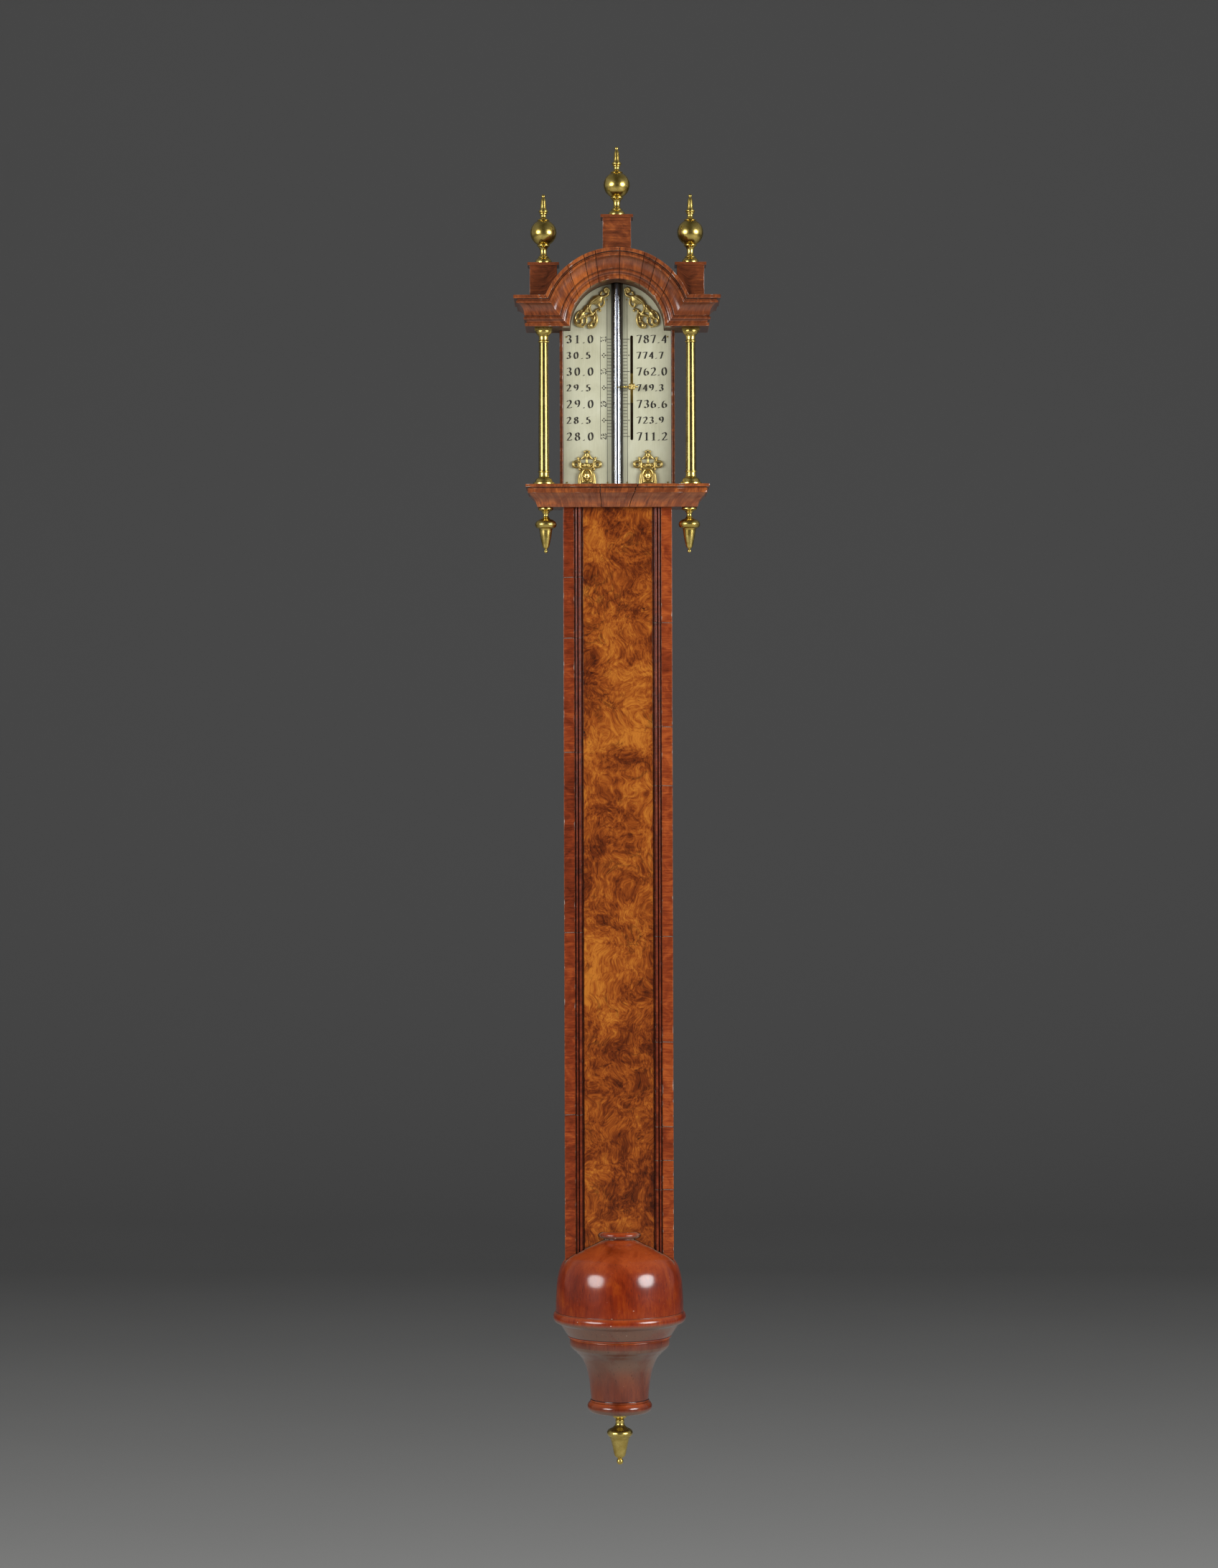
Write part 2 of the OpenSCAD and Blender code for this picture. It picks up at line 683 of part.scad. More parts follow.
stem_l = 3;
stem_w = slot_w - 2 * 0.2;
slider_out = board_t - 0.2 - slider_t;
boss_r = 1.6;

module index_slider() {
    color(brass) translate([slot_x, 0, scale_z]) {
        block([-slider_w / 2, slider_w / 2], [slider_out, slider_out + slider_t], [-slider_l / 2, slider_l / 2]);
        block([-stem_w / 2, stem_w / 2], [slider_out + slider_t, finger_out], [-stem_l / 2, stem_l / 2]);
    }
}

// Bowed strip that rubs on the floor of the channel
module index_spring() {
    rise = channel_d - slider_t - 0.2 - 0.1;
    strip = 0.3;
    span = slider_l - 4;
    bow = smooth([[0, 0], [span / 4, rise * 0.6], [span / 2, rise - strip], [span * 3 / 4, rise * 0.6], [span, 0]]);
    color(brass) translate([slot_x + slider_w / 4, -slider_out, scale_z - span / 2]) rotate([0, -90, 0])
        linear_extrude(slider_w / 2)
            polygon(concat(bow, [for (i = [len(bow) - 1 : -1 : 0]) bow[i] + [0, strip]]));
}

finger_t = 1.3;

module index_pointer() {
    bulb_x = 5.2;
    color(brass) translate([slot_x, -finger_out, scale_z]) rotate([90, 0, 0]) linear_extrude(finger_t)
        polygon(concat(
            smooth([[-slot_x, -0.25], [-slot_x + 5, -0.5], [-bulb_x - 0.6, -0.8], [-bulb_x + 1.6, -1.1],
                [-bulb_x + 3, -0.7], [-1.8, -0.8]], 2),
            [[-1.6, -1.9], [1.6, -1.9], [1.6, 1.9], [-1.6, 1.9]],
            smooth([[-1.8, 0.8], [-bulb_x + 3, 0.7], [-bulb_x + 1.6, 1.1], [-bulb_x - 0.6, 0.8],
                [-slot_x + 5, 0.5], [-slot_x, 0.25]], 2)));
}

// Cluster of small balls that the finger pushes on
module index_boss() {
    spread = 1.5;
    button_r = 0.95;
    seat_t = 0.9;
    color(brass) translate([slot_x, -finger_out - finger_t, scale_z]) rotate([90, 0, 0]) {
        cylinder(r = 2.4, h = seat_t);
        for (a = [45 : 90 : 315]) translate([spread * cos(a), spread * sin(a), boss_r + 0.1]) sphere(r = boss_r);
        translate([1, -0.4, 0]) cube([2.7, 0.8, seat_t - 0.2]);
        translate([3.7, 0, button_r + 0.05]) sphere(r = button_r);
    }
}

module glass_tube() {
    r = tube_d / 2;
    color("#dfe7e6", 0.4) translate([0, -tube_out, 0]) difference() {
        union() {
            translate([0, 0, tube_bottom]) cylinder(r = r, h = tube_top - r - tube_bottom);
            translate([0, 0, tube_top - r]) sphere(r = r);
        }
        translate([0, 0, tube_bottom - 1]) cylinder(r = tube_bore / 2, h = bore_top - tube_bottom + 1);
    }
}

module mercury_column() {
    top = bore_top - running - meniscus_l;
    color("#b9bdc2") translate([0, -tube_out, column_bottom]) cylinder(r = mercury_r, h = top - column_bottom);
}

module mercury_meniscus() {
    crest = 0.6;
    color("#b9bdc2") translate([0, -tube_out, bore_top - running - meniscus_l])
        turned(concat([[0, 0], [mercury_r, 0]],
            smooth([[mercury_r, meniscus_l - crest], [mercury_r * 0.75, meniscus_l - crest * 0.3], [0, meniscus_l]], 3)));
}

tube_block_count = 3;
tube_block_h = 14;
tube_block_w = 22;

module tube_blocks() {
    color(oak) for (i = [1 : tube_block_count]) {
        z = base_bottom - trunk_l * i / (tube_block_count + 1);
        difference() {
            block([-tube_block_w / 2, tube_block_w / 2], [board_t, panel_back - 1], [z, z + tube_block_h]);
            translate([0, -tube_out, z - 1]) cylinder(r = tube_d / 2 + running, h = tube_block_h + 2);
            block([-tube_d / 2, tube_d / 2], [tube_out, panel_back], [z - 1, z + tube_block_h + 1]);
        }
    }
}

binding_r = 0.5;
binding_z = rim_z + 6;
binding_turns = 3;

module at_axis(z) { translate([0, -tube_out, z]) children(); }

module cistern_body() {
    color(boxwood) at_axis(rim_z) difference() {
        cylinder(r = cistern_r, h = cistern_h);
        translate([0, 0, -1]) cylinder(r = cistern_r - cistern_wall, h = cistern_h + 2);
    }
}

module cistern_lid() {
    plug_l = 4;
    color(boxwood) at_axis(lid_z) difference() {
        union() {
            cylinder(r = cistern_r, h = lid_t);
            translate([0, 0, -plug_l]) cylinder(r = cistern_r - cistern_wall - running, h = plug_l);
        }
        translate([0, 0, -plug_l - 1]) cylinder(r = gasket_r, h = lid_t + plug_l + 2);
    }
}

gasket_r = tube_d / 2 + 2;

module tube_gasket() {
    color("#5b4030") at_axis(lid_z - 4) difference() {
        cylinder(r = gasket_r, h = lid_t + 4);
        translate([0, 0, -1]) cylinder(r = tube_d / 2 + running, h = lid_t + 6);
    }
}

module mercury_pool() {
    r = cistern_r - cistern_wall;
    color("#b9bdc2") at_axis(rim_z) difference() {
        cylinder(r = r - running, h = pool_depth);
        translate([0, 0, tube_bottom - rim_z]) cylinder(r = tube_d / 2 + running, h = pool_depth);
    }
}

module cistern_leather() {
    skirt = 9;
    color("#8a5a34") at_axis(rim_z) difference() {
        translate([0, 0, -leather_t]) cylinder(r = cistern_r + leather_t, h = leather_t + skirt);
        cylinder(r = cistern_r, h = skirt + 1);
        for (i = [0 : binding_turns - 1])
            translate([0, 0, binding_z - rim_z + 2 * binding_r * i])
                rotate_extrude() translate([cistern_r + leather_t, 0]) circle(binding_r);
    }
}

module leather_binding() {
    color("#b09a70") at_axis(binding_z) for (i = [0 : binding_turns - 1])
        translate([0, 0, 2 * binding_r * i])
            rotate_extrude() translate([cistern_r + leather_t, 0]) circle(binding_r - running);
}

socket_d = 2.6;
tip_r = 2;

module press_pad() {
    color(boxwood) at_axis(pad_top - pad_t) difference() {
        turned([[0, 0], [pad_r, 0], [pad_r, pad_t - 1], [pad_r - 1, pad_t], [0, pad_t]]);
        translate([0, 0, -1]) cylinder(r = tip_r + running, h = socket_d + 1);
    }
}

module portable_screw() {
    tip = pad_top - pad_t + socket_d - running;
    shank_top = pad_top - pad_t - running;
    color(steel) at_axis(0)
        turned([[0, cover_bottom - knob_socket], [screw_r, cover_bottom - knob_socket], [screw_r, shank_top],
            [tip_r, shank_top], [tip_r, tip], [0, tip]]);
}

bush_r = 6;
bush_flange_r = 10;

module screw_bush() {
    color(brass) at_axis(cover_bottom) difference() {
        union() {
            cylinder(r = bush_r, h = cup_floor - cover_bottom);
            translate([0, 0, cup_floor - cover_bottom]) cylinder(r = bush_flange_r, h = bush_flange_t);
        }
        translate([0, 0, -1]) cylinder(r = screw_r + running, h = cup_floor - cover_bottom + bush_flange_t + 2);
    }
}

knob_socket = 12;

// Brass knob of the portable screw, shaped as a pendant finial
module screw_knob() {
    ball_r = 2.5;
    outline = concat(
        [[0, -loose], [5.4, -loose], [5.6, -0.8], [5.2, -3]],
        smooth([[5, -4.2], [4, -5.6], [3.8, -7]], 2),
        [[4.4, -7.4], [4.2, -8.2]],
        smooth([[4.1, -9], [4.2, -10.4], [5.2, -12]], 2),
        smooth([[6.4, -12.8], [9.2, -14.4], [10.1, -16.8], [9, -19.4]], 2),
        [[8.4, -20], [8.2, -20.8], [7.6, -21.4]],
        smooth([[7.4, -22], [5.9, -27], [4.9, -30.4], [3.6, -34.8], [2, -36.4]], 2),
        [[1.7, -36.9]],
        arc([0, -38.9], ball_r, 48, -85, 5),
        [[0, -41.4]]);
    color(brass) at_axis(cover_bottom) difference() {
        turned(outline);
        translate([0, 0, -knob_socket]) cylinder(r = screw_r + running, h = knob_socket + 1);
    }
}

cover_screw_sink = 4;
cover_screw_l = panel_front + 12;

module at_cover_screws() {
    for (side = [-1, 1])
        translate([side * cover_screw_x, 0, cover_screw_z]) rotate([90, 0, 0]) children();
}

module cover_screws() {
    color(steel) at_cover_screws() translate([0, 0, cover_screw_sink])
        turned([[0, -2], [screw_head_r + 1, -2], [cover_screw_r, 0], [cover_screw_r, cover_screw_l - 8],
            [0, cover_screw_l - cover_screw_sink]]);
}

// The cover is turned round the tube's axis and planed flat where it meets the wall
module planed() {
    reach = 2 * flange_r;
    intersection() {
        at_axis(collar_top) children();
        block([-reach, reach], [0, tube_out + reach], [cover_bottom - 1, collar_top + 1]);
    }
}

module trunk_socket() {
    tall = trunk_tail + 1;
    block([-half, half], [-1, panel_front], [trunk_end, trunk_end + tall]);
    for (side = [-1, 1]) right_and_left(side)
        block([panel_half, panel_half + bead_w], [0, panel_front + bead_rise], [trunk_end, trunk_end + tall]);
}

module cover_dome() {
    collar_r2 = collar_h / 2;
    shoulder = flange_r - 2;
    foot = -dome_l;
    outline = concat(
        [[0, 0], [collar_r - collar_r2, 0]],
        arc([collar_r - collar_r2, -collar_r2], collar_r2, 80, -80, 6),
        [[collar_r - 1.2, -collar_h - 0.6]],
        smooth([[collar_r, -8], [collar_r + 5.5, -10.9], [collar_r + 11.9, -14], [shoulder - 12.4, -18.2],
            [shoulder - 7.2, -22.1], [shoulder - 3.6, -28], [shoulder - 1.4, -37], [shoulder - 0.4, -46],
            [shoulder, foot + 27.3]], 2),
        smooth([[flange_r - 1.2, foot + 23.1], [flange_r - 0.4, foot + 19.5], [flange_r, foot + 16.3],
            [flange_r - 0.7, foot + 13.5], [flange_r - 3.6, foot + 10.3], [band_r + 5.4, foot + 7.7]], 2),
        smooth([[band_r + 4.6, foot + 6.3], [band_r + 1.9, foot + 2.3], [band_r + 0.5, foot]], 2),
        [[0, foot]]);
    color(turned_wood) difference() {
        planed() turned(outline);
        trunk_socket();
        at_axis(cover_joint_z - 1) cylinder(r = hollow_r, h = trunk_end - cover_joint_z + 2);
        at_axis(cover_joint_z - 1) cylinder(r = tenon_r + running, h = tenon_l + 1.2);
        at_cover_screws() cylinder(r = cover_screw_r + running, h = cover_screw_l + 1);
    }
}

module cover_cup() {
    cup_top = -dome_l - band_l;
    neck_r = foot_r - 2.8;
    foot_top = -cover_l + foot_l;
    outline = concat(
        [[0, -dome_l + tenon_l], [tenon_r, -dome_l + tenon_l], [tenon_r, -dome_l], [band_r - 0.4, -dome_l],
         [band_r, -dome_l - 0.6]],
        smooth([[band_r, cup_top + 1.6], [band_r - 1.2, cup_top - 0.8], [band_r - 3.9, cup_top - 3.1]], 2),
        smooth([[neck_r + 11.5, cup_top - 4.4], [neck_r + 7.6, cup_top - 8.4], [neck_r + 4.8, cup_top - 14],
            [neck_r + 2.8, cup_top - 20.2], [neck_r + 1.2, cup_top - 29], [neck_r, foot_top + 1.2]], 2),
        [[foot_r - 2, foot_top]],
        arc([foot_r - foot_l / 2, foot_top - foot_l / 2], foot_l / 2, 72, -78, 8),
        [[foot_r - 5.6, -cover_l], [0, -cover_l]]);
    color(turned_wood) difference() {
        planed() turned(outline);
        at_axis(cup_floor) cylinder(r = hollow_r, h = cover_joint_z + tenon_l - cup_floor + 1);
        at_axis(cover_bottom - 1) cylinder(r = bush_r + running, h = cup_floor - cover_bottom + 2);
    }
}

backboard();
hanging_plate();
hanging_screws();
trunk_stile(-1);  // trunk_stile_left
trunk_stile(1);  // trunk_stile_right
trunk_bead(-1);  // trunk_bead_left
trunk_bead(1);  // trunk_bead_right
trunk_panel();
hood_base();
hood_carcass();
arch_moulding();
cornice(-1);  // cornice_left
cornice(1);  // cornice_right
plinth(-column_x, plinth_w, cornice_top, side_cap_z);  // plinth_left
plinth(column_x, plinth_w, cornice_top, side_cap_z);  // plinth_right
plinth(0, crown_w, arch_z, crown_cap_z);  // plinth_centre
plinth_cap(-column_x, plinth_w, side_cap_z);  // plinth_cap_left
plinth_cap(column_x, plinth_w, side_cap_z);  // plinth_cap_right
plinth_cap(0, crown_w, crown_cap_z);  // plinth_cap_centre
finial(-column_x, side_cap_z + cap_t);  // finial_left
finial(column_x, side_cap_z + cap_t);  // finial_right
finial(0, crown_cap_z + cap_t);  // finial_centre
column_base(-1);  // column_base_left
column_base(1);  // column_base_right
column_shaft(-1);  // column_shaft_left
column_shaft(1);  // column_shaft_right
column_capital(-1);  // column_capital_left
column_capital(1);  // column_capital_right
pendant(-1);  // pendant_left
pendant(1);  // pendant_right
register_plate(-1);  // register_plate_left
register_plate(1);  // register_plate_right
register_slip(-1);  // register_slip_left
register_slip(1);  // register_slip_right
spandrel(-1);  // spandrel_left
spandrel(1);  // spandrel_right
mask_mount(-1);  // mask_mount_left
mask_mount(1);  // mask_mount_right
register_pins();
index_slider();
index_spring();
index_pointer();
index_boss();
glass_tube();
mercury_column();
mercury_meniscus();
tube_blocks();
cistern_body();
cistern_lid();
tube_gasket();
mercury_pool();
cistern_leather();
leather_binding();
press_pad();
portable_screw();
screw_knob();
screw_bush();
cover_dome();
cover_cup();
cover_screws();
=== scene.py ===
"""The looks of a walnut stick barometer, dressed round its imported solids.

Shapes are worked out in millimetres as (x, out, z), where out is the distance in front of the wall.
"""

import math
import random

import bmesh
import bpy
from mathutils import Matrix, Vector, noise


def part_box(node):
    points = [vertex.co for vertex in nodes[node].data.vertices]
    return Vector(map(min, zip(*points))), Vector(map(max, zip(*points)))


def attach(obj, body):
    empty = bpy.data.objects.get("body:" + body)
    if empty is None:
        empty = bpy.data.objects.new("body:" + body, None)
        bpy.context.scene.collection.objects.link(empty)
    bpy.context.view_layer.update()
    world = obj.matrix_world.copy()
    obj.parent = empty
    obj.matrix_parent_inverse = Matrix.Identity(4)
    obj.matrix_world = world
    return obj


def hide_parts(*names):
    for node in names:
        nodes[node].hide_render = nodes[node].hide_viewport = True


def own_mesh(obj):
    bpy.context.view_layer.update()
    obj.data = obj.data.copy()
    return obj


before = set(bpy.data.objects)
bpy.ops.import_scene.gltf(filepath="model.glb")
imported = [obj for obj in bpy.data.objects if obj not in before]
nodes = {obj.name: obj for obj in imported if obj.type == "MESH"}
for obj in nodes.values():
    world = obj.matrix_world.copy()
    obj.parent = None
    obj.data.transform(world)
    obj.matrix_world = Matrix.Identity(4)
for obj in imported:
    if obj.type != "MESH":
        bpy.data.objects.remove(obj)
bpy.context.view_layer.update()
chance = random.Random(11)

MM = 0.001
INCH = 25.4
SIDES = {"left": -1, "right": 1}


# Places taken from the solids

def extent(node):
    """Lowest and highest (x, out, z) of a solid, in millimetres."""
    low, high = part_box(node)
    return Vector((low.x, -high.y, low.z)) / MM, Vector((high.x, -low.y, high.z)) / MM


def middle(node):
    low, high = extent(node)
    return (low + high) / 2


base_low, base_high = extent("hood_base")
arch_low, arch_high = extent("arch_moulding")
cornice_low, cornice_high = extent("cornice_right")
panel_low, panel_high = extent("trunk_panel")
stile_low, stile_high = extent("trunk_stile_right")
bead_low, bead_high = extent("trunk_bead_right")
slip_low, slip_high = extent("register_slip_right")
tube_low, tube_high = extent("glass_tube")
dome_high = extent("cover_dome")[1]
cup_low = extent("cover_cup")[0]

# Reach of the cornice past its lowest band, and of the hood base past its lower edge
CROWN_RUN = 8.8
BASE_RUN = 9.3
# Thickness of the cornice behind its lowest band
MOULDING_T = 10
arch_z = arch_low.z
moulding_h = cornice_high.z - cornice_low.z
arch_out_r = arch_high.z - arch_z
arch_r = arch_out_r - moulding_h
hood_half = cornice_high.x - CROWN_RUN
hood_d = cornice_high.y - CROWN_RUN
base_half = base_high.x - BASE_RUN
base_d = base_high.y - BASE_RUN
base_h = base_high.z - base_low.z
tube_axis = middle("glass_tube")
plate_front = extent("register_plate_right")[1].y
scale_middle = middle("index_slider").z
SCALE_MIDDLE_INCHES = 29.5


# Materials

def srgb(red, green, blue):
    """A colour as seen on a screen, 0 to 255, in the linear values that a shader takes."""
    def linear(value):
        value /= 255
        return value / 12.92 if value <= 0.04045 else ((value + 0.055) / 1.055) ** 2.4
    return (linear(red), linear(green), linear(blue), 1.0)


class Shader:
    """Short calls that add to a node tree."""

    def __init__(self, tree):
        self.tree = tree

    def node(self, kind, inputs, **settings):
        made = self.tree.nodes.new("ShaderNode" + kind)
        for key, value in settings.items():
            setattr(made, key, value)
        for key, value in inputs.items():
            self.feed(made.inputs[key], value)
        return made

    def feed(self, socket, value):
        if isinstance(value, bpy.types.NodeSocket):
            self.tree.links.new(value, socket)
        else:
            socket.default_value = value

    def parts(self, vector):
        return self.node("SeparateXYZ", {0: vector}).outputs

    def reckon(self, how, first, second=0.0):
        return self.node("Math", {0: first, 1: second}, operation=how).outputs[0]

    def times(self, product, *others):
        for other in others:
            product = self.reckon("MULTIPLY", product, other)
        return product

    def total(self, *parts):
        """The sum of (value, weight) pairs."""
        weighed = [self.times(value, weight) for value, weight in parts]
        whole = weighed[0]
        for value in weighed[1:]:
            whole = self.reckon("ADD", whole, value)
        return whole

    def span(self, value, low, high):
        """0 at low and below, 1 at high and above."""
        return self.node("MapRange", {"Value": value, "From Min": low, "From Max": high}).outputs["Result"]

    def between(self, value, low, high):
        """Low where the value is 0, high where it is 1."""
        return self.node("MapRange", {"Value": value, "To Min": low, "To Max": high}).outputs["Result"]


class Finish(Shader):
    """A material that is coloured layer by layer."""

    def __init__(self, name):
        self.material = bpy.data.materials.new(name)
        self.material.use_nodes = True
        super().__init__(self.material.node_tree)
        self.colour = None

    def here(self, stretch=(1, 1, 1)):
        """The place on the object, in metres, stretched along each axis."""
        place = self.node("TexCoord", {}).outputs["Object"]
        return self.node("Mapping", {"Vector": place, "Scale": stretch}).outputs["Vector"]

    def along(self, stretch):
        """The place on a strip, in millimetres along it and across it, stretched along each axis."""
        place = self.node("Attribute", {}, attribute_name="grain").outputs["Vector"]
        return self.node("Mapping", {"Vector": place, "Scale": stretch}).outputs["Vector"]

    def value_of(self, name):
        return self.node("Attribute", {}, attribute_name=name).outputs["Fac"]

    def facing_up(self):
        """1 on faces that look up, -1 on those that look down."""
        return self.parts(self.node("NewGeometry", {}).outputs["Normal"])["Z"]

    def cloud(self, place, scale, detail=4, rough=0.5, bend=0.0):
        return self.node("TexNoise", {"Vector": place, "Scale": scale, "Detail": detail, "Roughness": rough,
                                      "Distortion": bend}).outputs["Fac"]

    def cells(self, place, scale):
        return self.node("TexVoronoi", {"Vector": place, "Scale": scale}).outputs["Distance"]

    def tones(self, value, *stops):
        """Starts the colour, from a value and (place, colour) stops."""
        ramp = self.node("ValToRGB", {"Fac": value})
        elements = ramp.color_ramp.elements
        while len(elements) < len(stops):
            elements.new(0.5)
        for element, (place, colour) in zip(elements, stops):
            element.position = place
            element.color = colour
        self.colour = ramp.outputs["Color"]

    def lay(self, colour, *masks):
        """Lays a colour over what is there, as far as the product of the masks goes from 0 to 1."""
        self.colour = self.node("MixRGB", {"Fac": self.times(*masks), "Color1": self.colour,
                                           "Color2": colour}).outputs["Color"]

    def bumps(self, height, depth, strength):
        inputs = {"Height": height, "Distance": depth * MM, "Strength": strength}
        return self.node("Bump", inputs).outputs["Normal"]

    def done(self, **values):
        surface = self.tree.nodes["Principled BSDF"]
        for key, value in dict(values, Base_Color=self.colour).items():
            self.feed(surface.inputs[key.replace("_", " ")], value)
        return self.material


def crossgrain(name, deep, warm, bright, filler, shine=0.8):
    """Walnut laid with its grain across a strip, with worn edges and filled joints.

    Filler is the pair of noise levels between which the pale filling of the joints sets in.
    """
    f = Finish(name)
    streak = f.cloud(f.along((0.7, 0.05, 1)), 1.4, 6, 0.6, 0.6)
    flame = f.cloud(f.along((0.11, 0.07, 1)), 1.0, 4, 0.55, 1.4)
    shade = f.total((streak, 0.45), (flame, 0.55), (f.value_of("tone"), 0.26))
    f.tones(shade, (0.38, deep), (0.62, warm), (0.84, bright))
    pores = f.span(f.cloud(f.along((3.0, 0.3, 1)), 1.4, 3, 0.6), 0.6, 0.7)
    f.lay(deep, pores, 0.6)
    # Rubbed edges, dirt and painted shade with dust in the hollows, filling in the joints, and chips down to
    # the pale ground
    wear = f.value_of("wear")
    patch = f.cloud(f.along((0.3, 0.9, 1)), 1.0, 5, 0.7)
    f.lay(srgb(176, 104, 58), f.span(wear, 0.4, 1.0), f.span(patch, 0.44, 0.6), 0.7)
    # Dirt and painted shade, near black, in the hollows; the joints go dark too
    f.lay(srgb(24, 12, 8), f.span(wear, -0.1, -0.75), 0.93)
    f.lay(srgb(146, 134, 122), f.span(wear, -0.6, -0.95), f.span(patch, 0.58, 0.64), 0.7)
    f.lay(srgb(160, 148, 138), f.span(wear, -1.1, -1.4), f.span(patch, *filler), 0.85)
    knocked = f.reckon("MAXIMUM", f.reckon("SUBTRACT", wear, 1.0), 0.0)
    likely = f.reckon("ADD", patch, f.times(knocked, 0.5))
    edge = f.span(f.reckon("ABSOLUTE", wear), 0.35, 0.8)
    f.lay(srgb(200, 186, 174), edge, f.span(likely, 0.67, 0.71), 0.85)
    # Painted hazy reflection on faces that look down, dust on those that look up
    facing = f.facing_up()
    f.lay(srgb(96, 70, 56), f.span(facing, -0.25, -0.75), f.span(flame, 0.3, 0.6), 0.6)
    f.lay(srgb(150, 138, 124), f.span(facing, 0.7, 0.95), f.span(flame, 0.35, 0.65), 0.3)
    return f.done(Coat_Weight=shine, Coat_Roughness=0.15, Specular_IOR_Level=0.08,
                  Roughness=f.between(streak, 0.22, 0.42),
                  Normal=f.bumps(f.reckon("SUBTRACT", streak, pores), 0.06, 0.6))


def burr(name):
    """Burr walnut: golden clouds, smoky swirls, eyes and short curly fibres under a clear polish."""
    f = Finish(name)
    flat = f.here((1, 0.05, 1))
    bend = f.node("TexNoise", {"Vector": flat, "Scale": 26.0, "Detail": 2.0, "Roughness": 0.5})
    push = f.node("VectorMath", {0: bend.outputs["Color"], "Scale": 0.05}, operation="SCALE").outputs[0]
    swirl = f.node("VectorMath", {0: flat, 1: push}, operation="ADD").outputs[0]
    lengthwise = f.node("Mapping", {"Vector": swirl, "Scale": (1, 1, 0.24)}).outputs["Vector"]
    cloud = f.cloud(swirl, 36.0, 5, 0.55, 0.6)
    patch = f.cloud(flat, 15.0, 3, 0.5, 0.8)
    fibre = f.cloud(lengthwise, 620.0, 4, 0.62, 0.4)
    curl = f.cloud(swirl, 170.0, 4, 0.6, 0.6)
    foot = f.span(f.parts(flat)["Z"], -0.55, -0.72)
    shade = f.total((cloud, 0.54), (patch, 0.32), (fibre, 0.46), (curl, 0.38), (foot, -0.05))
    f.tones(shade, (0.64, srgb(56, 22, 9)), (0.76, srgb(104, 44, 14)), (0.87, srgb(148, 74, 23)),
            (1.0, srgb(186, 112, 38)))
    vein = f.reckon("ABSOLUTE", f.reckon("SUBTRACT", f.cloud(swirl, 24.0, 5, 0.6, 1.4), 0.5))
    vein = f.times(f.span(vein, 0.03, 0.003), f.span(f.cloud(flat, 34.0, 3), 0.48, 0.6))
    f.lay(srgb(44, 17, 8), vein, 0.5)
    # Eyes with rings round them, dark flecks, and painted shade as a dark rim along the panel's edges
    eyes = f.cells(swirl, 58.0)
    chosen = f.span(f.cloud(flat, 26.0, 2), 0.5, 0.58)
    rings = f.span(f.reckon("SINE", f.times(eyes, 52.0)), 0.2, 0.9)
    f.lay(srgb(66, 26, 10), rings, chosen, f.span(eyes, 0.42, 0.15), 0.45)
    pip = f.times(f.span(eyes, 0.1, 0.03), chosen)
    f.lay(srgb(38, 15, 8), pip, 0.85)
    f.lay(srgb(54, 21, 9), f.span(f.cloud(lengthwise, 1400.0, 2), 0.62, 0.72), 0.4)
    # Painted shade: a near-black rim along the panel's edges beside the quirks
    f.lay(srgb(28, 13, 8), f.span(f.value_of("wear"), 0.3, 1.0), 0.8)
    return f.done(Coat_Weight=0.5, Coat_Roughness=0.12, Specular_IOR_Level=0.08,
                  Roughness=f.between(cloud, 0.2, 0.4),
                  Normal=f.bumps(f.reckon("SUBTRACT", curl, f.reckon("ADD", pip, vein)), 0.04, 0.5))


# Depth below the dome's top down to which it meets the trunk
SEAM_H = 32


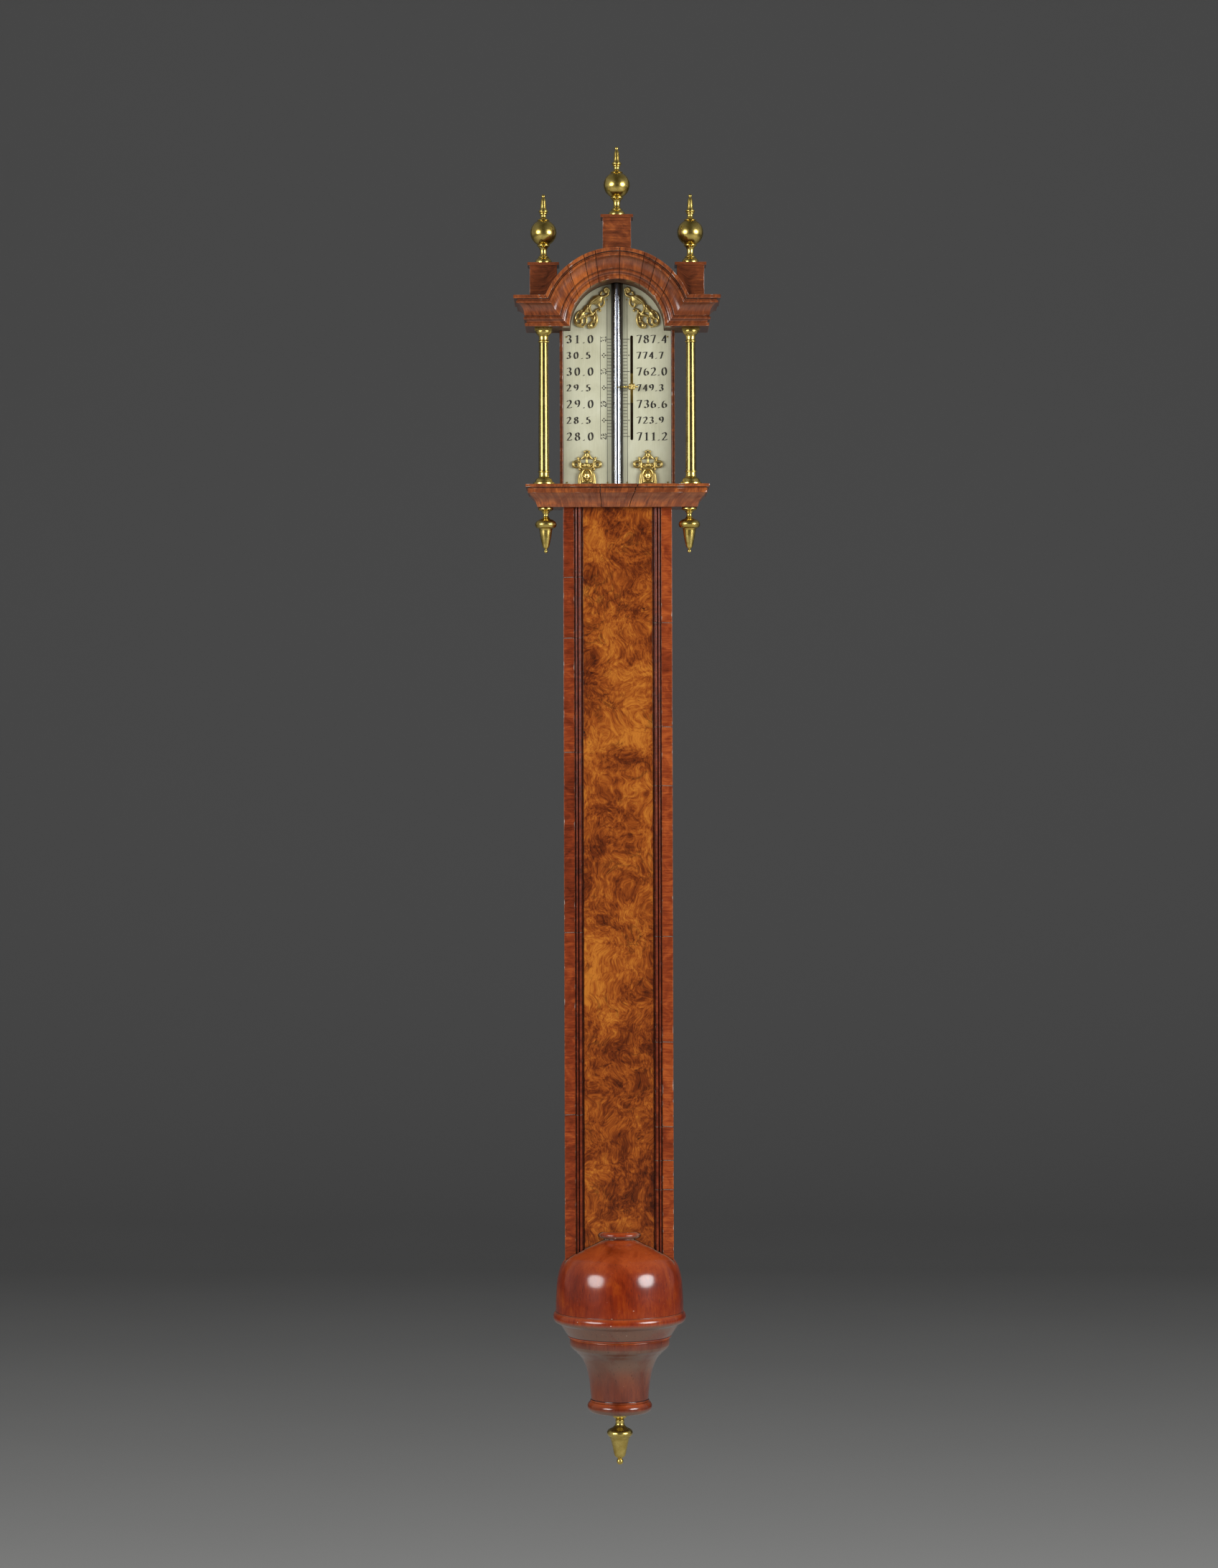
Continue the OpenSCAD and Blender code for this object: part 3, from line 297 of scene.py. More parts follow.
def turned_walnut(name, dark, warm, bright):
    """Lathe-turned walnut under a deep red polish, with worm holes, white flecks and scratches."""
    f = Finish(name)
    place = f.here()
    grain = f.cloud(f.here((1, 1, 0.2)), 420.0, 6, 0.6, 0.6)
    broad = f.cloud(f.here((1, 1, 0.7)), 40.0, 4, 0.55, 0.8)
    f.tones(f.total((grain, 0.4), (broad, 0.6)), (0.3, dark), (0.5, warm), (0.7, bright))
    # Painted light, a warm brightening, on faces that look up, and a painted hazy reflection on those that
    # look down
    facing = f.facing_up()
    f.lay(srgb(196, 92, 46), f.span(facing, 0.2, 0.75), f.span(broad, 0.25, 0.55), 0.5)
    f.lay(srgb(104, 82, 68), f.span(facing, -0.05, -0.4), f.span(broad, 0.2, 0.5), 0.85)
    f.lay(srgb(52, 17, 8), f.span(f.cloud(f.here((1, 1, 0.12)), 1100.0, 2), 0.64, 0.74), 0.6)
    worm = f.times(f.span(f.cells(place, 70.0), 0.055, 0.03), f.span(f.cloud(place, 25.0, 2), 0.52, 0.56))
    f.lay(srgb(24, 9, 6), worm)
    speck = f.span(f.cells(f.here((1, 1, 1.4)), 110.0), 0.085, 0.05)
    f.lay(srgb(214, 190, 170), speck, f.span(f.cloud(place, 40.0, 2), 0.56, 0.6), 0.85)
    scratch = f.span(f.cloud(f.here((0.35, 1, 1.5)), 420.0, 2, 0.4, 2.2), 0.735, 0.76)
    f.lay(srgb(190, 140, 112), scratch, 0.3)
    wear = f.value_of("wear")
    # Painted shade, near black, in the hollows, then rubbed orange edges
    f.lay(srgb(30, 11, 7), f.span(wear, -0.15, -0.8), 0.85)
    f.lay(srgb(190, 98, 50), f.span(wear, 0.3, 1.0), f.span(broad, 0.35, 0.55), 0.6)
    # Dust, and a painted shadow line, where the dome meets the front of the trunk
    x, y, z = f.parts(place)
    beside = f.reckon("ABSOLUTE", x)
    on_bead = f.times(f.reckon("GREATER_THAN", beside, bead_low.x * MM),
                      f.reckon("LESS_THAN", beside, bead_high.x * MM))
    step = f.times(on_bead, (bead_high.y - panel_high.y) * MM)
    gap = f.reckon("ABSOLUTE", f.reckon("ADD", f.reckon("ADD", y, panel_high.y * MM), step))
    meets = f.times(f.reckon("LESS_THAN", beside, (stile_high.x + 0.3) * MM),
                    f.reckon("GREATER_THAN", z, (dome_high.z - SEAM_H) * MM))
    f.lay(srgb(132, 120, 102), f.span(gap, 6.0 * MM, 1.6 * MM), f.span(grain, 0.35, 0.6), meets)
    # Painted shadow: a dark line in the seam between the dome and the trunk
    f.lay(srgb(20, 11, 8), f.span(gap, 1.5 * MM, 0.9 * MM), meets)
    ring_marks = f.cloud(f.here((0.04, 0.04, 1)), 900.0, 2)
    height = f.reckon("SUBTRACT", f.times(ring_marks, 0.4), f.reckon("ADD", worm, scratch))
    return f.done(Coat_Weight=1.0, Coat_Roughness=0.17, Specular_IOR_Level=0.04,
                  Roughness=f.between(grain, 0.26, 0.44), Normal=f.bumps(height, 0.05, 0.45))


def oak(name):
    """Old carcass wood: lengthwise grain, saw marks and grey dust."""
    f = Finish(name)
    grain = f.cloud(f.here((1, 1, 0.05)), 320.0, 6, 0.6, 0.4)
    broad = f.cloud(f.here((1, 1, 0.12)), 40.0, 3)
    saw = f.cloud(f.here((0.05, 0.05, 1)), 500.0, 2)
    f.tones(f.total((grain, 0.6), (broad, 0.4)),
            (0.3, srgb(58, 38, 24)), (0.52, srgb(96, 68, 44)), (0.72, srgb(132, 100, 68)))
    f.lay(srgb(150, 140, 124), f.span(f.cloud(f.here(), 60.0, 5, 0.7), 0.52, 0.75), 0.35)
    return f.done(Roughness=0.78, Normal=f.bumps(f.reckon("ADD", grain, saw), 0.12, 0.6))


def brass(name, bright, dull, stain, smooth, lathe_marks):
    """Lacquered brass with patina clouds, dark spots, dirt in the hollows and fine tool marks."""
    f = Finish(name)
    cloud = f.cloud(f.here(), 170.0, 6, 0.62, 0.6)
    f.tones(cloud, (0.3, dull), (0.62, bright))
    spots = f.span(f.cloud(f.here((1, 1, 0.8)), 900.0, 4, 0.65), 0.62, 0.72)
    blotch = f.times(spots, f.span(f.cloud(f.here(), 110.0, 3), 0.45, 0.65))
    f.lay(stain, blotch, 0.4)
    f.lay(stain, f.span(f.value_of("wear"), -0.2, -0.9), f.span(cloud, 0.3, 0.6), 0.8)
    rough = f.between(f.span(cloud, 0.25, 0.75), smooth, smooth + 0.12)
    marks = f.cloud(f.here((0.03, 0.03, 1) if lathe_marks else (1, 1, 1)), 1800.0, 2)
    return f.done(Metallic=1.0, Roughness=f.reckon("ADD", rough, f.times(blotch, 0.15)),
                  Normal=f.bumps(f.reckon("SUBTRACT", marks, blotch), 0.004, 0.5))


def gilt(name):
    """Cast and gilded brass: bright on the high places, with painted shade in dark brown down in the chasing.
    """
    f = Finish(name)
    cloud = f.cloud(f.here(), 380.0, 5, 0.6, 0.4)
    f.tones(cloud, (0.3, srgb(188, 160, 88)), (0.65, srgb(224, 202, 132)))
    # Painted shade, dark brown, in the hollows of the chasing
    f.lay(srgb(52, 36, 14), f.span(f.node("NewGeometry", {}).outputs["Pointiness"], 0.494, 0.45))
    return f.done(Metallic=1.0, Roughness=f.between(cloud, 0.24, 0.46),
                  Normal=f.bumps(f.cloud(f.here(), 3200.0, 2), 0.02, 0.5))


def silvered(name):
    """Silvered brass plate gone ivory with age: faint vertical brushing, specks and rubbed patches."""
    f = Finish(name)
    cloud = f.cloud(f.here((1, 1, 0.6)), 55.0, 6, 0.62, 0.5)
    brush = f.cloud(f.here((1, 1, 0.03)), 1500.0, 3, 0.6)
    f.tones(f.total((cloud, 0.65), (brush, 0.35)),
            (0.3, srgb(177, 175, 147)), (0.5, srgb(195, 194, 167)), (0.72, srgb(206, 206, 183)))
    speck = f.times(f.span(f.cloud(f.here(), 1500.0, 3, 0.6), 0.66, 0.75),
                    f.span(f.cloud(f.here(), 70.0, 4, 0.6), 0.44, 0.66))
    f.lay(srgb(104, 88, 58), speck, 0.5)
    return f.done(Specular_IOR_Level=0.3, Roughness=f.between(cloud, 0.42, 0.62),
                  Normal=f.bumps(f.reckon("SUBTRACT", brush, speck), 0.008, 0.4))


def plain_fibre(name, dark, light, stretch, scale, roughness, depth):
    """A small-grained wood, leather or cord."""
    f = Finish(name)
    grain = f.cloud(f.here(stretch), scale, 6, 0.6, 0.3)
    f.tones(grain, (0.3, dark), (0.7, light))
    return f.done(Roughness=roughness, Normal=f.bumps(grain, depth, 0.7))


def wax(name):
    """Black wax in the engraving, rubbed brown in places."""
    f = Finish(name)
    f.tones(f.cloud(f.here(), 420.0, 5, 0.65), (0.45, srgb(26, 23, 19)), (0.75, srgb(78, 68, 52)))
    return f.done(Roughness=0.7)


def glass(name):
    f = Finish(name)
    haze = f.cloud(f.here((1, 1, 0.2)), 260.0, 4, 0.6)
    f.tones(haze, (0.3, srgb(224, 234, 234)), (0.7, srgb(240, 246, 246)))
    return f.done(Transmission_Weight=1.0, IOR=1.47, Roughness=0.0)


def mercury(name):
    f = Finish(name)
    film = f.cloud(f.here((1, 1, 0.4)), 240.0, 4, 0.6)
    f.tones(film, (0.3, srgb(124, 125, 134)), (0.7, srgb(150, 150, 160)))
    return f.done(Metallic=1.0, Roughness=0.2)


def steel(name):
    f = Finish(name)
    film = f.cloud(f.here((1, 1, 0.3)), 700.0, 5, 0.6)
    f.tones(film, (0.3, srgb(92, 92, 92)), (0.7, srgb(150, 150, 152)))
    return f.done(Metallic=1.0, Roughness=f.between(film, 0.3, 0.5))


WALNUT = crossgrain("walnut_crossgrain", srgb(56, 25, 13), srgb(122, 62, 32), srgb(184, 102, 46), (0.6, 0.68))
STRIP = crossgrain("walnut_strip", srgb(62, 20, 8), srgb(128, 52, 22), srgb(180, 90, 38), (0.34, 0.46), 0.45)
BEADING = crossgrain("walnut_beading", srgb(54, 18, 9), srgb(116, 46, 22), srgb(160, 78, 36),
                     (0.34, 0.46), 0.25)
BURR = burr("walnut_burr")
TURNED = turned_walnut("walnut_turned", srgb(88, 19, 0), srgb(128, 38, 2), srgb(160, 67, 8))
TURNED_DARK = turned_walnut("walnut_turned_dark", srgb(72, 18, 2), srgb(104, 36, 6), srgb(132, 58, 14))
OAK = oak("carcass_oak")
BRASS = brass("brass_turned", srgb(206, 184, 106), srgb(176, 150, 74), srgb(84, 64, 28), 0.2, True)
# The shafts' brass is the turned brass painted darker, a painted shade that holds down the lamps' highlights
# on them
COLUMN_BRASS_PAINTED_DARK = brass("brass_column_painted_dark", srgb(136, 121, 72), srgb(116, 101, 56), srgb(84, 64, 28), 0.2, True)
SHEET_BRASS = brass("brass_sheet", srgb(190, 162, 88), srgb(150, 122, 58), srgb(70, 50, 20), 0.36, False)
GILT = gilt("brass_gilt")
SILVERED = silvered("brass_silvered")
WAX = wax("engraving_wax")
GLASS = glass("glass_clear")
MERCURY = mercury("mercury_bright")
STEEL = steel("steel_old")
BOXWOOD = plain_fibre("boxwood_old", srgb(150, 112, 62), srgb(206, 170, 110), (1, 1, 0.1), 300.0, 0.5, 0.05)
LEATHER = plain_fibre("leather_pale", srgb(112, 72, 42), srgb(160, 112, 72), (1, 1, 1), 700.0, 0.7, 0.1)
CORD = plain_fibre("cord_linen", srgb(140, 120, 84), srgb(190, 170, 128), (1, 1, 4), 900.0, 0.8, 0.08)


# Mesh making

def metres(point):
    """A point (x, out, z) in millimetres, in the frame's metres."""
    return Vector((point[0], -point[1], point[2])) * MM


def curve(points, steps=6):
    """A smooth curve through points, with that many steps from each to the next."""
    made = []
    for i in range(len(points) - 1):
        a, b, c, d = (Vector(points[min(max(i + k, 0), len(points) - 1)]) for k in (-1, 0, 1, 2))
        for j in range(steps):
            t = j / steps
            made.append(tuple(0.5 * (2 * b + (c - a) * t + (2 * a - 5 * b + 4 * c - d) * t ** 2
                                     + (3 * b - a - 3 * c + d) * t ** 3)))
    return made + [tuple(points[-1])]


def arc(centre, radius, start, end, steps=12):
    """Points on an arc; radius may be one number or one for each axis, angles in degrees."""
    rx, ry = radius if isinstance(radius, tuple) else (radius, radius)
    angles = (math.radians(start + (end - start) * i / steps) for i in range(steps + 1))
    return [(centre[0] + rx * math.cos(a), centre[1] + ry * math.sin(a)) for a in angles]


def ring(axis, radius, height, steps):
    """Points in metres round an upright axis through (x, out, z), at a height above that place."""
    return [metres((axis[0] + x, axis[1] + out, axis[2] + height))
            for x, out in arc((0, 0), radius, 0, 360, steps)[:-1]]


def quads(rows, columns, closed=False, around=False):
    """Faces of a grid of points: closed joins the last row to the first, around does it with columns."""
    return [(i * columns + j, i * columns + (j + 1) % columns,
             (i + 1) % rows * columns + (j + 1) % columns, (i + 1) % rows * columns + j)
            for i in range(rows if closed else rows - 1) for j in range(columns if around else columns - 1)]


# Turns of an outline that count as corners, in degrees
LEAST_CORNER = 24


def soften(points, radius, steps=4, fade=0.7):
    """Rounds an outline's corners. Gives (x, y, wear), wear being 1 on an outward corner and -1 in a hollow.

    The material lies to the left of the way along the outline; wear fades out beside each corner.
    """
    made = [(*points[0], 0.0)]
    for before, here, after in zip(points, points[1:], points[2:]):
        corner = Vector(here)
        back, on = Vector(before) - corner, Vector(after) - corner
        if back.length < 1e-6 or on.length < 1e-6:
            continue
        turn = math.atan2(back.y * on.x - back.x * on.y, -back.dot(on))
        if abs(turn) < math.radians(LEAST_CORNER):
            made.append((*here, 0.0))
            continue
        reach = min(radius, 0.3 * back.length, 0.3 * on.length)
        start, end = corner + back.normalized() * reach, corner + on.normalized() * reach
        lead = corner + back.normalized() * min(reach + fade, 0.45 * back.length)
        trail = corner + on.normalized() * min(reach + fade, 0.45 * on.length)
        made.append((*lead, 0.0))
        for i in range(steps + 1):
            t = i / steps
            spot = start * (1 - t) ** 2 + corner * 2 * t * (1 - t) + end * t ** 2
            made.append((*spot, math.copysign(0.6 + 0.4 * math.sin(math.pi * t), turn)))
        made.append((*trail, 0.0))
    return made + [(*points[-1], 0.0)]


def put(name, data):
    """A new object in the scene."""
    made = bpy.data.objects.new(name, data)
    bpy.context.scene.collection.objects.link(made)
    return made


def build(name, points, faces, material, body="case", sharp=50.0, **attributes):
    """A piece from points in metres. Attributes are lists of numbers, or of three numbers, one per point."""
    mesh = bpy.data.meshes.new(name)
    mesh.from_pydata(points, [], faces)
    for key, values in attributes.items():
        if isinstance(values[0], float):
            mesh.attributes.new(key, "FLOAT", "POINT").data.foreach_set("value", values)
        else:
            flat = [number for value in values for number in value]
            mesh.attributes.new(key, "FLOAT_VECTOR", "POINT").data.foreach_set("vector", flat)
    tidy = bmesh.new()
    tidy.from_mesh(mesh)
    bmesh.ops.remove_doubles(tidy, verts=tidy.verts, dist=1e-7)
    bmesh.ops.recalc_face_normals(tidy, faces=tidy.faces)
    tidy.to_mesh(mesh)
    tidy.free()
    mesh.materials.append(material)
    mesh.shade_smooth()
    mesh.set_sharp_from_angle(angle=math.radians(sharp))
    piece = put(name, mesh)
    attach(piece, body)
    return piece


def stands_for(piece, slot, *names):
    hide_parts(*names)


def settle(piece):
    """Takes a piece's modifiers into its mesh."""
    ready = piece.evaluated_get(bpy.context.evaluated_depsgraph_get())
    mesh = bpy.data.meshes.new_from_object(ready)
    piece.modifiers.clear()
    piece.data = mesh


def carve(piece, *boxes):
    """Cuts boxes, each given by its lowest and highest (x, out, z), out of a piece."""
    cutters = []
    for low, high in boxes:
        cutter = put("cutter", bpy.data.meshes.new("cutter"))
        shape = bmesh.new()
        size = Matrix.Diagonal((*((Vector(high) - Vector(low)) * MM), 1))
        centre = metres((Vector(low) + Vector(high)) / 2)
        bmesh.ops.create_cube(shape, size=1.0, matrix=Matrix.Translation(centre) @ size)
        shape.to_mesh(cutter.data)
        shape.free()
        change = piece.modifiers.new("cut", "BOOLEAN")
        change.object = cutter
        change.solver = "EXACT"
        cutters.append(cutter)
    settle(piece)
    for cutter in cutters:
        bpy.data.objects.remove(cutter)


def ragged(place, seed):
    """A number from -1 to 1 that wanders with a place in millimetres."""
    return noise.noise(Vector((place, seed, 0.5)))


# Joints between laid pieces of veneer, the unevenness of old surfaces, and chips and rubbing of edges
JOINT_W = 0.36
JOINT_FLOOR = 0.12
JOINT_DEPTH = 0.5
JOINT_RIM = 0.6
# Below -1, so that the material can tell a joint from a hollow
JOINT_WEAR = -1.5
WAVER = 0.025
CHIP_DEPTH = 0.5
CHIP_LIMIT = 0.22
RUB_SHARE = 0.12


def stations(length, spacing, joints, corners):
    """Distances along a strip and, at each, 1 in a joint, a little under 0 on its rims and 0 elsewhere."""
    count = max(2, round(length / spacing))
    made = {length * i / count: 0.0 for i in range(count + 1)}
    for spot in (*joints, *corners):
        made = {d: deep for d, deep in made.items() if abs(d - spot) > 2.6 * JOINT_W or d in (0, length)}
    for joint in joints:
        for side in (-1, 1):
            made.update({joint + side * 2 * JOINT_W: 0.0, joint + side * JOINT_W: -JOINT_RIM,
                         joint + side * JOINT_FLOOR: 1.0})
    made.update({corner: 0.0 for corner in corners})
    return sorted(made.items())


def strip(name, outline, path, length, material, joints=(), corners=(), spacing=2.0, tones=None,
          lean=lambda distance: 0.0, rub=lambda share: 0.0):
    """A moulding or board: a closed outline of (a, b, wear) carried along path(a, b, share of the way).

    Joints between laid pieces are cut in as fine grooves that lean across the strip, and edges are chipped.
    Tones, from dark 0 to light 1, are those of the laid pieces; rub tells how worn the edges are, 0 to 1.
    """
    stops = stations(length, spacing, joints, corners)
    seed = chance.uniform(0, 100)
    tones = tones or [chance.uniform(0.3, 0.7) for _ in range(len(joints) + 1)]
    count = len(outline)
    around = [0.0]
    for (a, b, _), (c, d, _) in zip(outline, outline[1:]):
        around.append(around[-1] + math.hypot(c - a, d - b))
    points, grain, tone, wear = [], [], [], []
    for i, (a, b, worn) in enumerate(outline):
        before, after = outline[i - 1], outline[(i + 1) % count]
        outward = Vector((after[1] - before[1], before[0] - after[0]))
        outward = outward.normalized() if outward.length > 1e-9 else Vector((0, 0))
        for distance, joint in stops:
            rough = ragged(distance * 0.3 + around[i] * 0.1, seed + 7)
            chip = max(0.0, rough - CHIP_LIMIT) if worn > 0 else 0.0
            chip += RUB_SHARE * rub(distance / length) * max(worn, 0.0)
            uneven = WAVER * (1 + ragged(distance * 0.05 + i * 0.3, seed))
            dent = JOINT_DEPTH * max(joint, 0) + uneven + CHIP_DEPTH * chip * worn
            slant = lean(distance) * (around[i] - around[-1] / 2) if 0 < distance < length else 0.0
            share = min(max((distance + slant) / length, 0.0), 1.0)
            points.append(metres(path(a - outward.x * dent, b - outward.y * dent, share)))
            grain.append((distance, around[i], seed))
            tone.append(tones[sum(1 for j in joints if j < distance)])
            edge = max(float(worn) + 2 * chip, -joint) if joint < 0 else float(worn) + 2 * chip
            filled = JOINT_WEAR - 0.4 * ragged(around[i] * 0.4, seed + distance)
            wear.append(filled if joint > 0 else edge)
    width = len(stops)
    faces = quads(count, width, closed=True)
    faces += [[i * width for i in range(count)], [i * width + width - 1 for i in range(count)]]
    return build(name, points, faces, material, grain=grain, tone=tone, wear=wear)


def laid(node, outline, path, length, material, slot="walnut", **laying):
    """A strip of wood that takes the place of a solid."""
    stands_for(strip(f"{node}_wood", outline, path, length, material, **laying), slot, node)


def turned(name, outline, axis, material, body="case", steps=80, corner=0.25):
    """A lathe-turned piece: an outline of (radius, height) points about an upright axis (x, out, z)."""
    if outline[-1][1] < outline[0][1]:
        outline = outline[::-1]
    outline = soften(outline, corner)
    points, wear = [], []
    for radius, height, worn in outline:
        points += ring(axis, radius, height, steps)
        wear += [float(worn)] * steps
    faces = quads(len(outline), steps, around=True)
    return build(name, points, faces, material, body, sharp=60.0, wear=wear)


def board(name, low, high, rim, material):
    """A flat board whose four edges carry one section of (projection, height, wear)."""
    centre, half = (low + high) / 2, (high - low) / 2
    points, wear, grain = [], [], []
    for run, up, worn in rim:
        for a, b in ((1, -1), (1, 1), (-1, 1), (-1, -1)):
            points.append(metres((centre.x + a * (half.x + run), centre.y + b * (half.y + run), low.z + up)))
            wear.append(float(worn))
            grain.append((a * half.x, b * half.y, up))
    faces = quads(len(rim), 4, around=True) + [(0, 1, 2, 3), tuple(range(len(points) - 4, len(points)))]
    return build(name, points, faces, material, grain=grain, tone=[0.3] * len(points), wear=wear)


def melted(name, shape, voxel):
    """Balls and rods melted together in gilt metal."""
    rounds = 3
    mesh = bpy.data.meshes.new(name)
    shape.to_mesh(mesh)
    shape.free()
    piece = put(name, mesh)
    melt = piece.modifiers.new("melt", "REMESH")
    melt.mode = "VOXEL"
    melt.voxel_size = voxel * MM
    smooth = piece.modifiers.new("smooth", "SMOOTH")
    smooth.iterations = rounds
    settle(piece)
    piece.data.materials.append(GILT)
    piece.data.shade_smooth()
    return piece


# Walnut mouldings of the hood

def cornice_outline():
    """Section of the cornice as (projection past its lowest band, height), with its back."""
    bead_r = 1.4
    front = ([(0, 0), (0, 2.5)] + curve([(-0.8, 2.5), (-1.3, 3.6), (-0.8, 4.7)], 5)
             + arc((-0.2, 6.1), bead_r, -90, 90) + [(-0.2, 8.3), (0.4, 8.3)]
             + arc((6.8, 8.3), (-6.4, 8.9), 6, 90, 14)
             + [(6.8, 18.9), (6, 18.9), (6, 20.6), (CROWN_RUN, 20.6), (CROWN_RUN, moulding_h)])
    return soften([(-MOULDING_T, 0)] + front + [(-MOULDING_T, moulding_h)], 0.4)


def base_outline():
    """Section of the hood base as (projection past its lower edge, height), with its back."""
    back = slip_low.x - base_half
    hollow = curve([(0, 0), (0.5, 1.3), (1.4, 4.1), (2.8, 6.3), (4.7, 8.2), (6.6, 10.4)], 5)
    top = [(7.5, 10.4), (7.5, 14), (6.8, 14), (6.8, 15), (BASE_RUN, 15), (BASE_RUN, base_h)]
    return soften([(back, 0)] + hollow + top + [(back, base_h)], 0.4)


def arch_path(run, height, share):
    radius = arch_r + height
    start = math.asin(height / radius)
    angle = start + share * (math.pi - 2 * start)
    return radius * math.cos(angle), hood_d + run, arch_z + radius * math.sin(angle)


def cornice_path(side):
    """From the arch along the front for half the way, and then back along the side."""
    def path(run, height, share):
        start = math.sqrt(arch_r ** 2 + 2 * arch_r * max(height, 0))
        corner = hood_half + run
        x = min(start + (corner - start) * share * 2, corner) if share < 0.5 else corner
        out = (hood_d + run) * min(1.0, 2 - 2 * share)
        return side * x, out, arch_z + height
    return path


def base_path(run, height, share):
    """A third of the way for the left side, the front and the right side each."""
    half, depth = base_half + run, base_d + run
    x = half * min(max(6 * share - 3, -1), 1)
    out = depth * min(1.0, 3 * share, 3 - 3 * share)
    return x, out, base_low.z + height


def upright_path(foot, top, side=1):
    return lambda x, out, share: (side * x, out, foot + (top - foot) * share)


# Joints of the arch in degrees round it, and of the hood base from its middle
ARCH_JOINTS = (29, 49, 62, 87, 112, 124, 143)
ARCH_TONES = (0.45, 0.55, 0.3, 0.55, 0.5, 0.65, 0.95, 0.7)
BASE_JOINTS = (-12, 12.5)
CORNICE_L = 90.0


def rubbed_ends(share):
    """0 along the middle of the way, rising to 1 at both ends."""
    return max(0.0, abs(share - 0.5) - 0.34) / 0.16


def dress_hood():
    length = math.pi * (arch_r + moulding_h / 2)
    arch = strip("arch_wood", cornice_outline(), arch_path, length, WALNUT, spacing=1.2, tones=ARCH_TONES,
                 joints=[length * a / 180 for a in ARCH_JOINTS], rub=rubbed_ends)
    stands_for(arch, "walnut", "arch_moulding")
    for name, side in SIDES.items():
        laid(f"cornice_{name}", cornice_outline(), cornice_path(side), CORNICE_L, WALNUT,
             corners=(CORNICE_L / 2,), spacing=1.2, tones=(0.3,))
    length = 3 * 2 * base_half
    laid("hood_base", base_outline(), base_path, length, WALNUT, spacing=2.4, tones=(0.55, 0.5, 0.6),
         joints=[length * (0.5 + x / (6 * base_half)) for x in BASE_JOINTS],
         corners=(length / 3, length * 2 / 3),
         lean=lambda d: 0.12 + 0.1 * math.tanh((d - length / 2) / 10))


def box_outline(low, high, steps=0):
    """A rectangle in plan with worn corners; steps are the points along its back and its front."""
    worn_r = 0.5
    across = [low.x + (high.x - low.x) * (i + 0.5) / steps for i in range(steps)]
    back = [(x, low.y) for x in across] or [(low.x, low.y)]
    front = [(x, high.y) for x in reversed(across)]
    left = [(low.x, high.y)] + ([(low.x, low.y)] if steps else [])
    return soften(back + [(high.x, low.y), (high.x, high.y)] + front + left + [back[0]], worn_r)[:-1]


def dress_plinths():
    cap_edge = 0.7
    for name in (*SIDES, "centre"):
        low, high = extent(f"plinth_{name}")
        floor = cornice_high.z if name != "centre" else low.z

        def path(x, out, share, floor=floor, top=high.z):
            foot = max(floor, arch_z + math.sqrt(max(arch_out_r ** 2 - x ** 2, 0)))
            return x, out, foot + (top - foot) * share

        laid(f"plinth_{name}", box_outline(low, high, steps=14), path, high.z - low.z, WALNUT, spacing=1.5,
             tones=(0.3 if name == "centre" else 0.2,))
        low, high = extent(f"plinth_cap_{name}")
        rim = soften([(-cap_edge, 0), (0, 0), (0, high.z - low.z), (-cap_edge, high.z - low.z)], 0.8, 6)
        stands_for(board(f"plinth_cap_{name}_wood", low, high, rim, WALNUT), "walnut", f"plinth_cap_{name}")


# Trunk

STRIP_JOINTS = {"left": (-653.4, -511.1, -370.5, -281.4, -234.0),
                "right": (-711.9, -689.2, -662.9, -596.8, -514.4, -396.8, -350.8, -269.6)}
STRIP_LIGHT = {"left": 0.3, "right": 0.65}
STRIP_LEAN = 0.03


def bead_outline(ledge, quirk):
    """A main bead and a thin one outside it, with quirks beside them, on a ledge."""
    width, crest = bead_high.x - bead_low.x, bead_high.y
    main_x, main_r = bead_low.x + 0.37 * width, 0.15 * width
    thin_x, thin_r = bead_low.x + 0.74 * width, 0.1 * width
    return soften([(bead_low.x, ledge), (bead_high.x, ledge), (bead_high.x, quirk), (thin_x + thin_r, quirk)]
                  + arc((thin_x, crest - 0.6 - thin_r), thin_r, 0, 180, 10)
                  + [(thin_x - thin_r, quirk), (main_x + main_r, quirk)]
                  + arc((main_x, crest - main_r), main_r, 0, 180, 14)
                  + [(main_x - main_r, quirk), (bead_low.x, quirk), (bead_low.x, ledge)], 0.3, fade=1.0)[:-1]


def dress_trunk():
    foot, top = stile_low.z, stile_high.z
    ledge, front = panel_low.y, panel_high.y
    stile_in = bead_high.x
    stile = soften([(stile_low.x, stile_low.y), (stile_high.x, stile_low.y), (stile_high.x, stile_high.y),
                    (stile_in, stile_high.y), (stile_in, ledge), (stile_low.x, ledge),
                    (stile_low.x, stile_low.y)], 0.4)[:-1]
    beads = bead_outline(ledge, front - 0.9)
    for name, side in SIDES.items():
        joints = [z - foot for z in STRIP_JOINTS[name]]
        tones = [STRIP_LIGHT[name] + 0.15 * math.sin(2.4 * i) for i in range(len(joints) + 1)]
        for node, outline, material, shades in (("stile", stile, STRIP, tones),
                                                ("bead", beads, BEADING, [0.3] * len(tones))):
            laid(f"trunk_{node}_{name}", outline, upright_path(foot, top, side), top - foot, material,
                 joints=joints, lean=lambda d: STRIP_LEAN, tones=shades)
    half, steps = panel_high.x, 26
    face = [(half - 2 * half * i / steps, front) for i in range(steps + 1)]
    sheet = soften([(-half, ledge), (half, ledge)] + face + [(-half, ledge)], 0.3)[:-1]
    laid("trunk_panel", sheet, upright_path(foot, top), top - foot, BURR, "burr_walnut", spacing=4.0)
    foot, top = slip_low.z, slip_high.z
    for name, side in SIDES.items():
        laid(f"register_slip_{name}", box_outline(slip_low, slip_high), upright_path(foot, top, side),
             top - foot, WALNUT, tones=(0.15,))


# Turned brass: outlines of (radius, height)

